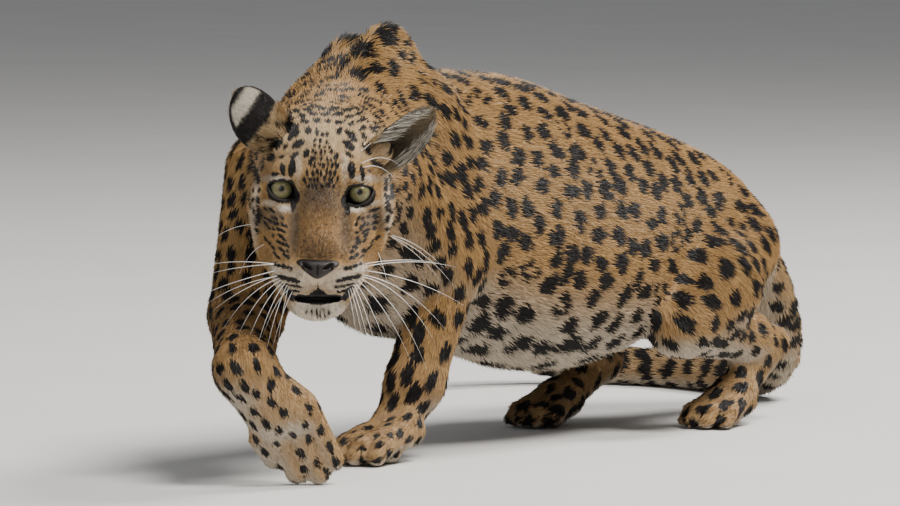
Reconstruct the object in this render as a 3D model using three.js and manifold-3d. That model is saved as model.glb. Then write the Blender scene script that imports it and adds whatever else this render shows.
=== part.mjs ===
// Leopard, life size, walking low with its head turned to look at the viewer.
// Millimetres, +Z up. The trunk lies along Y with the chest towards -Y, and the animal's left is +X.
// The flesh is one smooth implicit body, sampled on a grid, then parted into named pieces by thin cuts.
import * as THREE from 'three';
import { mergeVertices } from 'three/addons/utils/BufferGeometryUtils.js';
import Module from 'manifold-3d';

const wasm = await Module();
wasm.setup();

// Driving dimensions

const CUT = 0.3;                    // width of the thin cuts that part the body
const FLOOR = 0;                    // level of the small flats under the paws

const EYE_RADIUS = 15.5;
const EYE_SPACING = 86;             // between the centres of the eyes
const LID_THICKNESS = 2.4;
const LID_OPENING = [14.2, 11.4];   // half width and half height between the lids
const LID_SLANT = 16;               // degrees, inner corner low

const EAR_THICKNESS = 5;
const MOUTH_GAPE = 9;               // height of the dark gap at the front teeth
const NOSE_PAD_WIDTH = 44;

// The head has its own axes: u to the animal's left, v up, w forward, from midway between the eyes.
const HEAD_ORIGIN = [-106, -95, 324];
const HEAD_TURN = 39;               // degrees that the head is turned left of the trunk's line
const HEAD_NOD = 17.5;              // degrees that the muzzle points down
const HEAD_ROLL = 2.6;              // degrees that the left eye is lower

// Small vector helpers

const V = (a) => new THREE.Vector3(...a);
const rad = THREE.MathUtils.degToRad;
const mix = (a, b, t) => a + (b - a) * t;
const clamp = THREE.MathUtils.clamp;

// A set of axes at an origin, which takes a point of the animal to its own u, v, w and back.
function axesAt(origin, u, v, w) {
  return {
    origin,
    u,
    v,
    w,
    inward: (p) => {
      const d = [p[0] - origin[0], p[1] - origin[1], p[2] - origin[2]];
      const dot = (e) => d[0] * e.x + d[1] * e.y + d[2] * e.z;
      return [dot(u), dot(v), dot(w)];
    },
    outward: (q) => V(origin).addScaledVector(u, q[0]).addScaledVector(v, q[1]).addScaledVector(w, q[2]),
  };
}

function headAxes() {
  const turn = rad(HEAD_TURN);
  const nod = rad(HEAD_NOD);
  const roll = rad(HEAD_ROLL);
  const ahead = V([Math.sin(turn), -Math.cos(turn), 0]);
  const w = ahead.clone().multiplyScalar(Math.cos(nod)).add(V([0, 0, -Math.sin(nod)]));
  const side = V([Math.cos(turn), Math.sin(turn), 0]);
  const up = new THREE.Vector3().crossVectors(w, side);
  const u = side.clone().multiplyScalar(Math.cos(roll)).addScaledVector(up, -Math.sin(roll));
  const v = up.clone().multiplyScalar(Math.cos(roll)).addScaledVector(side, Math.sin(roll));
  return axesAt(HEAD_ORIGIN, u, v, w);
}
const HEAD = headAxes();

// Implicit forms: each gives the distance from a point to its skin, negative inside.

// An egg with its own three radii.
function egg(c, r) {
  return (p) => {
    const a = (p[0] - c[0]) / r[0];
    const b = (p[1] - c[1]) / r[1];
    const d = (p[2] - c[2]) / r[2];
    const k = Math.hypot(a, b, d);
    const g = Math.hypot(a / r[0], b / r[1], d / r[2]);
    return g < 1e-9 ? -Math.min(...r) : (k * (k - 1)) / g;
  };
}

// A tapered limb with round ends.
function limb(a, ra, b, rb) {
  const e = [b[0] - a[0], b[1] - a[1], b[2] - a[2]];
  const l2 = e[0] * e[0] + e[1] * e[1] + e[2] * e[2];
  return (p) => {
    const q = [p[0] - a[0], p[1] - a[1], p[2] - a[2]];
    const t = clamp((q[0] * e[0] + q[1] * e[1] + q[2] * e[2]) / l2, 0, 1);
    return Math.hypot(q[0] - e[0] * t, q[1] - e[1] * t, q[2] - e[2] * t) - mix(ra, rb, t);
  };
}

// The same form on both sides of the plane u = 0.
function pair(form, ...args) {
  const flip = (arg) => (Array.isArray(arg) && arg.length === 3 ? [-arg[0], arg[1], arg[2]] : arg);
  const flipped = form === egg ? [flip(args[0]), args[1]] : args.map(flip);
  return [form(...args), form(...flipped)];
}

// Forms melted together, with a fillet of about the given size where they meet.
function melt(size, ...forms) {
  const all = forms.flat();
  return (p) => {
    let d = all[0](p);
    for (let i = 1; i < all.length; i++) {
      const e = all[i](p);
      const h = Math.max(size - Math.abs(d - e), 0) / size;
      d = Math.min(d, e) - h * h * size * 0.25;
    }
    return d;
  };
}

// A form given in other axes.
const within = (axes, form) => (p) => form(axes.inward(p));

// Trunk: sections along Y, each with its middle, half width, height above and depth below the widest level.
// y, x, z, half width, above, below
const TRUNK_SECTIONS = [
  [40, -232, 305, 50, 66, 66],
  [90, -243, 305, 80, 116, 108],
  [150, -251, 298, 94, 150, 146],
  [220, -255, 285, 102, 162, 150],
  [300, -256, 268, 112, 175, 148],
  [410, -256, 245, 122, 187, 156],
  [517, -256, 235, 122, 168, 152],
  [610, -256, 232, 112, 147, 134],
  [690, -256, 232, 97, 126, 104],
  [798, -256, 228, 84, 91, 70],
  [860, -256, 212, 66, 64, 50],
  [905, -256, 205, 38, 36, 34],
];

function sectionAt(sections, y) {
  const n = sections.length;
  let i = 0;
  while (i < n - 2 && y > sections[i + 1][0]) i++;
  const [a, b] = [sections[i], sections[i + 1]];
  const before = sections[Math.max(i - 1, 0)];
  const after = sections[Math.min(i + 2, n - 1)];
  const span = b[0] - a[0];
  const t = clamp((y - a[0]) / span, 0, 1);
  return a.map((value, k) => {
    const m0 = (before === a ? 0 : ((b[k] - before[k]) / (b[0] - before[0])) * span);
    const m1 = (after === b ? 0 : ((after[k] - a[k]) / (after[0] - a[0])) * span);
    const t2 = t * t;
    const t3 = t2 * t;
    return (2 * t3 - 3 * t2 + 1) * value + (t3 - 2 * t2 + t) * m0 + (3 * t2 - 2 * t3) * b[k] + (t3 - t2) * m1;
  });
}

function loft(sections) {
  const first = sections[0][0];
  const last = sections[sections.length - 1][0];
  return (p) => {
    const y = clamp(p[1], first, last);
    const [, x, z, wide, above, below] = sectionAt(sections, y);
    const dx = p[0] - x;
    const dz = p[2] - z;
    const q = Math.hypot(dx / wide, dz / (dz > 0 ? above : below));
    const across = q < 1e-6 ? -wide : Math.hypot(dx, dz) * (1 - 1 / q);
    const along = Math.abs(p[1] - y);
    return along > 0 ? Math.hypot(along, Math.max(across, 0)) + Math.min(across, 0) : across;
  };
}

// Head forms, in the head's own axes

const HEAD_FORMS = [
  egg([0, 14, -64], [58, 50, 70]),
  egg([0, 4, -100], [60, 56, 56]),
  egg([0, 25, -22], [41, 30, 38]),
  pair(egg, [35, 18, -5], [20, 15, 18]),
  pair(limb, [53, -20, -9], 20, [54, -30, -56], 26),
  pair(egg, [44, -50, -46], [32, 38, 42]),
  limb([0, 6, 10], 25, [0, -36, 66], 19),
  pair(limb, [28, -30, 20], 23, [21, -56, 56], 20),
  pair(egg, [24, -67, 58], [26, 21, 28]),
  pair(egg, [36, -46, 10], [24, 30, 34]),
  limb([0, -44, 66], 19, [0, -62, 66], 18),
  limb([-48, 32, -50], 17, [-58, 45, -52], 15),
  limb([50, 25, -52], 18, [62, 31, -52], 16),
];
const JAW_FORMS = [
  egg([0, -108, 50], [25, 23, 26]),
  pair(limb, [17, -104, 42], 21, [40, -80, -30], 27),
  limb([0, -96, 10], 32, [0, -76, -70], 46),
];

const headForm = within(HEAD, melt(16, ...HEAD_FORMS, ...JAW_FORMS));

// Neck and withers

const NECK_FORMS = [
  limb([-244, 112, 364], 88, [-196, 30, 342], 80),
  limb([-196, 30, 342], 80, [-160, -26, 334], 70),
  limb([-238, 80, 280], 76, [-166, -26, 284], 52),
];
const WITHERS_FORMS = [
  egg([-214, 148, 418], [27, 64, 84]),
  egg([-274, 158, 403], [30, 64, 84]),
];

// Forelegs: shoulder, elbow, wrist and paw. The left bears weight, and the right swings with a bent wrist.

const UPPER_FORE_LEFT = [
  limb([-180, 84, 344], 52, [-186, 218, 226], 43),
  limb([-208, 196, 396], 50, [-188, 234, 232], 37),
];
const FORE_LEFT = [
  limb([-188, 224, 216], 41, [-203, 187, 88], 34),
  limb([-203, 187, 88], 34, [-212, 168, 48], 28),
];
const UPPER_FORE_RIGHT = [
  limb([-290, 38, 332], 54, [-262, -38, 182], 43),
  limb([-284, 122, 366], 48, [-268, -6, 206], 38),
];
const FORE_RIGHT = [
  limb([-260, -43, 172], 42, [-160, -162, 137], 33),
  egg([-152, -170, 132], [33, 33, 33]),
];

// Hind legs: hip, knee, hock and paw

const THIGH_LEFT = [
  limb([-200, 796, 212], 54, [-170, 690, 172], 64),
  limb([-170, 700, 170], 60, [-156, 632, 138], 44),
];
const HIND_LEFT = [
  limb([-156, 630, 132], 42, [-168, 776, 104], 30),
  limb([-168, 776, 104], 30, [-170, 822, 94], 23),
  limb([-170, 822, 92], 23, [-166, 742, 34], 24),
];
const THIGH_RIGHT = [
  limb([-312, 796, 214], 56, [-344, 680, 196], 64),
  limb([-344, 690, 190], 62, [-360, 606, 186], 42),
];
const HIND_RIGHT = [
  limb([-360, 606, 182], 40, [-346, 690, 100], 29),
  limb([-346, 690, 100], 29, [-342, 716, 72], 22),
  limb([-342, 716, 70], 23, [-334, 622, 30], 24),
];

// A standing paw: across, ahead and up from the middle of its sole.
function pawForms(x, y, heading, size) {
  const turn = rad(heading);
  const across = V([Math.cos(turn), Math.sin(turn), 0]);
  const ahead = V([Math.sin(turn), -Math.cos(turn), 0]);
  const axes = axesAt([x, y, FLOOR - 1.5], across, ahead, V([0, 0, 1]));
  const s = (list) => list.map((value) => value * size);
  const toes = [[-32, 30], [-12, 44], [12, 44], [32, 30]].flatMap(([side, reach]) => [
    limb(s([side * 0.7, 0, 29]), 15 * size, s([side * 0.94, reach - 12, 24]), 13.5 * size),
    limb(s([side * 0.94, reach - 12, 22]), 13 * size, s([side, reach, 13]), 12.5 * size),
  ]);
  const block = pair(limb, s([12, -36, 38]), 22 * size, s([16, 4, 27]), 20 * size);
  const pad = egg(s([0, -4, 13]), s([30, 25, 14]));
  return within(axes, melt(7, block, toes, pad));
}

// The hanging paw, from the bent wrist to toes that just touch the floor
const HANGING_KNUCKLES = [[-146, -148, 54], [-132, -138, 62], [-117, -128, 70], [-105, -117, 78]];
const HANGING_TIPS = [[-144, -132, 30], [-124, -116, 12.5], [-105, -101, 12], [-92, -92, 28]];
const HANGING_PAW = melt(
  8,
  limb([-153, -168, 124], 32, [-136, -144, 82], 32),
  limb([-148, -166, 120], 30, [-116, -128, 84], 28),
  HANGING_KNUCKLES.map((k, i) => limb(k, 17, HANGING_TIPS[i], 13.5)),
);

const PAWS = {
  forepaw_left: pawForms(-206, 122, -8, 1),
  forepaw_right: HANGING_PAW,
  hindpaw_left: pawForms(-164, 716, 2, 0.9),
  hindpaw_right: pawForms(-332, 592, 4, 0.9),
};

// Tail: a smooth line from the croup down to the floor, round behind the body, with the tip lifted
const TAIL_PATH = new THREE.CatmullRomCurve3([
  [-256, 860, 222],
  [-262, 926, 180],
  [-276, 984, 112],
  [-310, 1032, 56],
  [-370, 1064, 28],
  [-450, 1090, 24],
  [-530, 1106, 24],
  [-606, 1096, 24],
  [-672, 1056, 30],
  [-714, 996, 52],
  [-724, 936, 80],
].map(V));
const TAIL_RADII = [33, 23.5];      // at the root and the tip
const TAIL_STEPS = 26;

function tailForm() {
  const points = TAIL_PATH.getSpacedPoints(TAIL_STEPS).map((p) => p.toArray());
  const radius = (i) => mix(...TAIL_RADII, (i / TAIL_STEPS) ** 0.7);
  return melt(6, points.slice(1).map((p, i) => limb(points[i], radius(i), p, radius(i + 1))));
}

const tail = tailForm();
const neck = melt(30, ...NECK_FORMS);
const upperForelegs = melt(22, ...UPPER_FORE_LEFT, ...UPPER_FORE_RIGHT);
const trunk = melt(34, loft(TRUNK_SECTIONS), ...WITHERS_FORMS);
const shoulders = melt(34, trunk, neck, upperForelegs);
const thighs = melt(26, ...THIGH_LEFT, ...THIGH_RIGHT);
const rear = melt(30, trunk, thighs, tail);
const body = (p) => Math.min(shoulders(p), rear(p));
const legs = {
  foreLeft: melt(16, ...UPPER_FORE_LEFT, ...FORE_LEFT, PAWS.forepaw_left),
  foreRight: melt(16, ...UPPER_FORE_RIGHT, ...FORE_RIGHT, PAWS.forepaw_right),
  hindLeft: melt(18, ...THIGH_LEFT, ...HIND_LEFT, PAWS.hindpaw_left),
  hindRight: melt(18, ...THIGH_RIGHT, ...HIND_RIGHT, PAWS.hindpaw_right),
};

// Sampling: one vertex in each grid cell that the skin crosses, drawn onto the skin

function slope(form, p, e) {
  const g = [0, 1, 2].map((k) => {
    const a = p.slice();
    const b = p.slice();
    a[k] += e;
    b[k] -= e;
    return (form(a) - form(b)) / (2 * e);
  });
  return g;
}

function settle(form, p, cell) {
  let q = p;
  for (let i = 0; i < 3; i++) {
    const g = slope(form, q, 0.5);
    const g2 = g[0] * g[0] + g[1] * g[1] + g[2] * g[2] + 1e-9;
    const step = clamp(form(q) / g2, -cell / 2, cell / 2);
    q = q.map((value, k) => clamp(value - step * g[k], p[k] - cell * 0.45, p[k] + cell * 0.45));
  }
  return q;
}

function skinMesh(form, low, high, cell) {
  const n = [0, 1, 2].map((k) => Math.ceil((high[k] - low[k]) / cell) + 1);
  const at = (i, j, k) => i + n[0] * (j + n[1] * k);
  const values = new Float64Array(n[0] * n[1] * n[2]);
  const corner = (i, j, k) => [low[0] + i * cell, low[1] + j * cell, low[2] + k * cell];
  for (let k = 0; k < n[2]; k++)
    for (let j = 0; j < n[1]; j++)
      for (let i = 0; i < n[0]; i++) {
        const edge = i === 0 || j === 0 || k === 0 || i === n[0] - 1 || j === n[1] - 1 || k === n[2] - 1;
        const value = form(corner(i, j, k));
        values[at(i, j, k)] = edge ? Math.max(value, cell * 0.3) : value || 1e-6;
      }
  const vertexOf = new Int32Array(values.length).fill(-1);
  const points = [];
  for (let k = 0; k < n[2] - 1; k++)
    for (let j = 0; j < n[1] - 1; j++)
      for (let i = 0; i < n[0] - 1; i++) {
        const sum = [0, 0, 0];
        let crossings = 0;
        for (let e = 0; e < 12; e++) {
          const axis = e >> 2;
          const [b, c] = [(axis + 1) % 3, (axis + 2) % 3];
          const from = [0, 0, 0];
          from[b] = e & 1;
          from[c] = (e >> 1) & 1;
          const to = from.slice();
          to[axis] = 1;
          const fa = values[at(i + from[0], j + from[1], k + from[2])];
          const fb = values[at(i + to[0], j + to[1], k + to[2])];
          if (fa < 0 === fb < 0) continue;
          from[axis] = fa / (fa - fb);
          from.forEach((value, d) => (sum[d] += value));
          crossings++;
        }
        if (!crossings) continue;
        vertexOf[at(i, j, k)] = points.length;
        const origin = corner(i, j, k);
        const start = origin.map((value, d) => value + (sum[d] / crossings) * cell);
        points.push(settle(form, start, cell));
      }
  const triangles = [];
  const far = (a, b) => Math.hypot(...points[a].map((value, d) => value - points[b][d]));
  for (let k = 0; k < n[2] - 1; k++)
    for (let j = 0; j < n[1] - 1; j++)
      for (let i = 0; i < n[0] - 1; i++)
        for (let axis = 0; axis < 3; axis++) {
          const here = [i, j, k];
          const next = here.slice();
          next[axis]++;
          if (here.some((value, d) => value === 0 && d !== axis)) continue;
          const inside = values[at(...here)] < 0;
          if (inside === values[at(...next)] < 0) continue;
          const [b, c] = [(axis + 1) % 3, (axis + 2) % 3];
          const ring = [[0, 0], [-1, 0], [-1, -1], [0, -1]].map(([db, dc]) => {
            const cellIndex = here.slice();
            cellIndex[b] += db;
            cellIndex[c] += dc;
            return vertexOf[at(...cellIndex)];
          });
          if (!inside) ring.reverse();
          const [p, q, r, s] = ring;
          if (far(p, r) < far(q, s)) triangles.push(p, q, r, p, r, s);
          else triangles.push(p, q, s, q, r, s);
        }
  return { points, triangles };
}

// Thinning: the shortest, flattest edges are closed up first, so that triangles stay where the form bends

function planesAt(points, triangles) {
  const quadrics = points.map(() => new Float64Array(10));
  for (let i = 0; i < triangles.length; i += 3) {
    const [a, b, c] = triangles.slice(i, i + 3).map((index) => V(points[index]));
    const n = b.clone().sub(a).cross(c.clone().sub(a));
    const area = n.length() / 2;
    n.normalize();
    const e = [n.x, n.y, n.z, -n.dot(a)];
    for (const index of triangles.slice(i, i + 3)) {
      let k = 0;
      for (let r = 0; r < 4; r++)
        for (let t = r; t < 4; t++) quadrics[index][k++] += area * e[r] * e[t];
    }
  }
  return quadrics;
}

function misfit(q, [x, y, z]) {
  return q[0] * x * x + 2 * q[1] * x * y + 2 * q[2] * x * z + 2 * q[3] * x + q[4] * y * y
    + 2 * q[5] * y * z + 2 * q[6] * y + q[7] * z * z + 2 * q[8] * z + q[9];
}

const EDGE_WEIGHT = 0.02;           // how much a long edge is kept against a bent one
const SLIVER = 0.2;                 // twice the area of a triangle too thin to have a direction
const SHORTEST_EDGE = 0.12;         // shorter edges, left by cuts that almost meet a vertex, are closed

// Closes edges of a closed mesh, cheapest first, until the target number of triangles is left.
// Only edges for which the allowed function holds are closed.
function thinned({ points, triangles }, target, allowed = () => true) {
  const place = points.map((p) => p.slice());
  const quadrics = planesAt(place, triangles);
  let faces = [];
  for (let i = 0; i < triangles.length; i += 3) faces.push(triangles.slice(i, i + 3));
  const normal = (f, moved, to) => {
    const [a, b, c] = f.map((index) => V(moved.has(index) ? to : place[index]));
    return b.sub(a).cross(c.sub(a));
  };
  while (faces.length > target) {
    const around = place.map(() => []);
    faces.forEach((f, i) => f.forEach((index) => around[index].push(i)));
    const ring = (index) => new Set(around[index].flatMap((i) => faces[i]));
    const edges = [];
    for (const f of faces)
      for (let k = 0; k < 3; k++) {
        const [a, b] = [f[k], f[(k + 1) % 3]];
        if (a > b) continue;
        const q = quadrics[a].map((value, i) => value + quadrics[b][i]);
        const middle = place[a].map((value, i) => (value + place[b][i]) / 2);
        const length = V(place[a]).distanceTo(V(place[b]));
        if (!allowed(length)) continue;
        const [to, cost] = [middle, place[a], place[b]]
          .map((spot) => [spot, misfit(q, spot)])
          .reduce((best, option) => (option[1] < best[1] * 0.8 ? option : best));
        edges.push({ a, b, to, cost: cost + EDGE_WEIGHT * length ** 3 });
      }
    edges.sort((e, f) => e.cost - f.cost);
    const touched = new Set();
    const gone = new Set();
    const limit = Math.max(Math.floor((faces.length - target) / 2), 1);
    let closed = 0;
    for (const { a, b, to } of edges.slice(0, Math.ceil(edges.length * 0.3))) {
      if (closed >= limit || touched.has(a) || touched.has(b)) continue;
      const [ringA, ringB] = [ring(a), ring(b)];
      const shared = [...ringA].filter((index) => ringB.has(index) && index !== a && index !== b);
      if (shared.length !== 2) continue;
      const moved = new Set([a, b]);
      const stay = [...new Set([...around[a], ...around[b]])].filter((i) => !(faces[i].includes(a) && faces[i].includes(b)));
      const turns = stay.some((i) => {
        const [before, after] = [normal(faces[i], new Set(), to), normal(faces[i], moved, to)];
        return before.length() > SLIVER && before.dot(after) < 0.5 * before.length() * after.length();
      });
      if (turns) continue;
      for (const index of [...ringA, ...ringB]) touched.add(index);
      around[a].filter((i) => faces[i].includes(b)).forEach((i) => gone.add(i));
      around[b].forEach((i) => (faces[i] = faces[i].map((index) => (index === b ? a : index))));
      place[a] = to;
      quadrics[a] = quadrics[a].map((value, i) => value + quadrics[b][i]);
      closed++;
    }
    if (!closed) break;
    faces = faces.filter((f, i) => !gone.has(i));
  }
  const kept = [...new Set(faces.flat())];
  const renamed = new Map(kept.map((index, i) => [index, i]));
  return { points: kept.map((index) => place[index]), triangles: faces.flat().map((index) => renamed.get(index)) };
}

// Joining and cutting

function solidOf(points, triangles) {
  const mesh = new wasm.Mesh({
    numProp: 3,
    vertProperties: Float32Array.from(points.flat()),
    triVerts: Uint32Array.from(triangles),
  });
  return new wasm.Manifold(mesh);
}

function solidFrom(geometry, matrix = new THREE.Matrix4()) {
  const bare = geometry.clone().applyMatrix4(matrix);
  bare.deleteAttribute('normal');
  bare.deleteAttribute('uv');
  const merged = mergeVertices(bare, 1e-4);
  const mesh = new wasm.Mesh({
    numProp: 3,
    vertProperties: Float32Array.from(merged.attributes.position.array),
    triVerts: Uint32Array.from(merged.index.array),
  });
  return new wasm.Manifold(mesh);
}

const FAR = 2600;

// Everything on the side of a plane that the normal points to, moved out by the given growth.
function side(point, normal, growth = 0) {
  const n = V(normal).normalize();
  const turn = new THREE.Quaternion().setFromUnitVectors(V([0, 0, 1]), n);
  const middle = V(point).addScaledVector(n, FAR / 2 - growth);
  const matrix = new THREE.Matrix4().compose(middle, turn, V([1, 1, 1]));
  return solidFrom(new THREE.BoxGeometry(FAR, FAR, FAR), matrix);
}

// A region bounded by planes, each a point and the normal that points into the region.
const region = (planes, growth = 0) => planes
  .map(([point, normal]) => side(point, normal, growth))
  .reduce((a, b) => a.intersect(b));

function largest(solid) {
  const parts = solid.decompose();
  return parts.reduce((a, b) => (b.volume() > a.volume() ? b : a));
}

const HEAD_BACK = [HEAD.outward([0, 0, -96]).toArray(), HEAD.v.clone().multiplyScalar(0.3).add(HEAD.w).toArray()];
const away = ([point, normal]) => [point, normal.map((value) => -value)];

// Planes that part the body. Each is a point on the plane and a normal.
const PLANES = {
  headBack: HEAD_BACK,
  neckBase: [[-236, 84, 360], [0.52, -0.82, -0.1]],
  shoulderRight: [[-286, 22, 262], [0.18, -0.5, -0.85]],
  elbowRight: [[-262, -36, 176], [0.5, -0.62, -0.6]],
  wristRight: [[-150, -160, 112], [0.42, 0.5, -0.76]],
  shoulderLeft: [[-184, 190, 262], [0.1, 0.12, -0.99]],
  chestLeft: [[-222, 180, 200], [1, 0, -0.16]],
  frontLeft: [[-180, 100, 230], [-0.1, 0.95, 0.3]],
  elbowBackLeft: [[-180, 300, 200], [0, -1, 0]],
  chestRight: [[-240, 34, 200], [-0.3, -0.95, -0.1]],
  throatRight: [[-214, 0, 220], [-1, 0, 0]],
  elbowLeft: [[-190, 214, 186], [0, -0.1, -1]],
  wristLeft: [[-208, 172, 58], [0, -0.35, -0.94]],
  hipLeft: [[-190, 760, 228], [0.9, 0, -0.44]],
  hipRight: [[-322, 760, 228], [-0.9, 0, -0.44]],
  flankLeft: [[-160, 596, 180], [0.25, 0.95, -0.2]],
  flankRight: [[-352, 566, 180], [-0.25, 0.95, -0.2]],
  kneeLeft: [[-158, 664, 108], [0, 0.55, -0.83]],
  kneeRight: [[-356, 640, 138], [0, 0.4, -0.91]],
  hockLeft: [[-169, 800, 74], [0, -0.5, -0.86]],
  hockRight: [[-340, 694, 62], [0, -0.5, -0.86]],
  rumpEnd: [[-256, 900, 205], [0, 0.86, -0.5]],
  tailRoot: [[-310, 1032, 56], [-0.6, 0.6, -0.5]],
  tailTip: [[-530, 1106, 24], [-1, 0.1, 0]],
};
const FLOOR_PLANE = [[0, 0, FLOOR], [0, 0, 1]];

// The part of the body that each leg and the tail take from the trunk and neck
const REGIONS = {
  foreRight: [PLANES.shoulderRight, PLANES.chestRight, PLANES.throatRight],
  foreLeft: [PLANES.shoulderLeft, PLANES.chestLeft, PLANES.frontLeft, PLANES.elbowBackLeft],
  hindLeft: [PLANES.hipLeft, PLANES.flankLeft],
  hindRight: [PLANES.hipRight, PLANES.flankRight],
  tail: [PLANES.rumpEnd],
};

const BUILD = [];
function keep(name, solid, look) {
  BUILD.push({ name, solid: largest(solid), look });
}

// A form sampled inside a box and thinned to a share of its triangles, as a solid.
function sampled(form, [low, high], cell) {
  const fine = skinMesh(form, low, high, cell);
  const { points, triangles } = thinned(fine, Math.round((fine.triangles.length / 3) * KEPT_SHARE));
  return solidOf(points, triangles);
}
const between = (solid, planes) => solid.intersect(region(planes, -CUT / 2));

// Looks of the sub-parts
const look = (color, roughness) => ({ color, roughness, metalness: 0 });
const COAT = look(0xc99a5b, 0.85);
const PALE = look(0xd8c6a4, 0.85);
const NOSE_SKIN = look(0x6b4a42, 0.5);
const EYE_SHINE = look(0x9aa070, 0.1);

// Size of the sampling cells, finer where the form is finer
const KEPT_SHARE = 0.28;
const CELLS = { torso: 22, neck: 16, upperLeg: 14, lowerLeg: 11, paw: 8.5, tail: 12, head: 7 };

// Each leg: its name, its region, the joints between its three pieces, and the box that holds it
const LEGS = [
  {
    leg: 'foreLeft', names: ['upper_foreleg_left', 'forearm_left', 'forepaw_left'],
    upper: shoulders, joint: PLANES.elbowLeft, end: PLANES.wristLeft, beside: [PLANES.chestLeft],
    box: [[-262, 40, -12], [-110, 350, 300]],
  },
  {
    leg: 'foreRight', names: ['upper_foreleg_right', 'forearm_right', 'forepaw_right'],
    upper: shoulders, joint: PLANES.elbowRight, end: PLANES.wristRight, beside: [],
    box: [[-360, -226, -12], [-66, 80, 330]],
  },
  {
    leg: 'hindLeft', names: ['thigh_left', 'shank_left', 'hindpaw_left'],
    upper: rear, joint: PLANES.kneeLeft, end: PLANES.hockLeft, beside: [PLANES.hipLeft],
    box: [[-270, 560, -12], [-80, 880, 330]],
  },
  {
    leg: 'hindRight', names: ['thigh_right', 'shank_right', 'hindpaw_right'],
    upper: rear, joint: PLANES.kneeRight, end: PLANES.hockRight, beside: [PLANES.hipRight],
    box: [[-440, 500, -12], [-246, 880, 330]],
  },
];

function buildLegs() {
  for (const { leg, names, upper, joint, end, beside, box } of LEGS) {
    const whole = (p) => Math.min(upper(p), legs[leg](p));
    const [upperName, lowerName, pawName] = names;
    keep(upperName, between(sampled(whole, box, CELLS.upperLeg), [...REGIONS[leg], away(joint)]), COAT);
    keep(lowerName, between(sampled(legs[leg], box, CELLS.lowerLeg), [joint, away(end), ...beside]), COAT);
    keep(pawName, between(sampled(legs[leg], box, CELLS.paw), [joint, end]).intersect(region([FLOOR_PLANE])), COAT);
  }
}

const withoutLegs = (solid) => Object.values(REGIONS)
  .reduce((rest, planes) => rest.subtract(region(planes, CUT / 2)), solid);

function buildTrunk() {
  const solid = withoutLegs(sampled(body, [[-420, -60, 40], [-90, 960, 540]], CELLS.torso));
  keep('torso', between(solid, [away(PLANES.neckBase)]), COAT);
}

function buildNeck() {
  const flesh = melt(24, shoulders, headForm);
  const solid = withoutLegs(sampled(flesh, [[-380, -120, 150], [-60, 200, 510]], CELLS.neck));
  keep('neck', between(solid, [PLANES.neckBase, away(PLANES.headBack)]), COAT);
}

function buildTail() {
  const whole = sampled(rear, [[-760, 820, -8], [-180, 1150, 270]], CELLS.tail).intersect(region([FLOOR_PLANE]));
  let rest = largest(between(whole, REGIONS.tail));
  for (const [name, plane] of [['tail_root', PLANES.tailRoot], ['tail_middle', PLANES.tailTip]]) {
    keep(name, between(rest, [away(plane)]), COAT);
    rest = largest(between(rest, [plane]));
  }
  keep('tail_tip', rest, COAT);
}

// Head: the skull and muzzle, with sockets, lids and nostrils cut in, and the jaw parted from it

function headMatrix() {
  const { u, v, w } = HEAD;
  return new THREE.Matrix4().makeBasis(u, v, w).setPosition(...HEAD_ORIGIN);
}

// A closed sheet with two faces, each a grid of points; the second face lies under the first.
function sheet(rows, columns, topPoint, underPoint) {
  const points = [];
  const triangles = [];
  const row = columns + 1;
  for (const place of [topPoint, underPoint])
    for (let i = 0; i <= rows; i++)
      for (let j = 0; j <= columns; j++) points.push(place(i / rows, j / columns));
  const under = (rows + 1) * row;
  const quad = (a, b, c, d) => triangles.push(a, b, c, a, c, d);
  for (let i = 0; i < rows; i++)
    for (let j = 0; j < columns; j++) {
      const a = i * row + j;
      quad(a, a + 1, a + row + 1, a + row);
      quad(under + a, under + a + row, under + a + row + 1, under + a + 1);
    }
  for (let i = 0; i < rows; i++) {
    const [a, b] = [i * row, i * row + columns];
    quad(a, a + row, under + a + row, under + a);
    quad(b + row, b, under + b, under + b + row);
  }
  for (let j = 0; j < columns; j++) {
    const [a, b] = [j, rows * row + j];
    quad(a + 1, a, under + a, under + a + 1);
    quad(b, b + 1, under + b + 1, under + b);
  }
  return { points, triangles };
}

const inHead = ({ points, triangles }) => {
  const placed = points.map((p) => HEAD.outward(p).toArray());
  const solid = solidOf(placed, triangles);
  return solid.volume() > 0 ? solid : solidOf(placed, triangles.toReversed());
};

// The mouth: a gap between the lips that narrows to the corners, then a thin cut down behind the jaw
const MOUTH_HALF_WIDTH = 76;
const LIP_LINE = [[104, -94], [60, -94], [24, -91], [-4, -88], [-20, -94], [-30, -108], [-36, -132], [-40, -190]];
const MOUTH_CORNER = -4;

function mouthCut() {
  const lipAt = (t) => {
    const at = t * (LIP_LINE.length - 1);
    const i = Math.min(Math.floor(at), LIP_LINE.length - 2);
    return [0, 1].map((k) => mix(LIP_LINE[i][k], LIP_LINE[i + 1][k], at - i));
  };
  const place = (under) => (s, t) => {
    const u = mix(-MOUTH_HALF_WIDTH, MOUTH_HALF_WIDTH, t);
    const [w, v] = lipAt(s);
    const droop = 8 * Math.min((u / 34) ** 2, 1) * clamp((w - MOUTH_CORNER) / 30, 0, 1);
    const open = MOUTH_GAPE * Math.max(1 - (u / 30) ** 2, 0) * clamp((w - MOUTH_CORNER) / 60, 0, 1);
    const behind = clamp((MOUTH_CORNER - w) / 20, 0, 1);
    const drop = under ? open + CUT * (1 - behind * 0.6) : 0;
    return [u, v - droop - drop, w + (under ? CUT * behind : 0)];
  };
  const rows = (LIP_LINE.length - 1) * 2;
  return inHead(sheet(rows, 12, place(false), place(true)));
}

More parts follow.
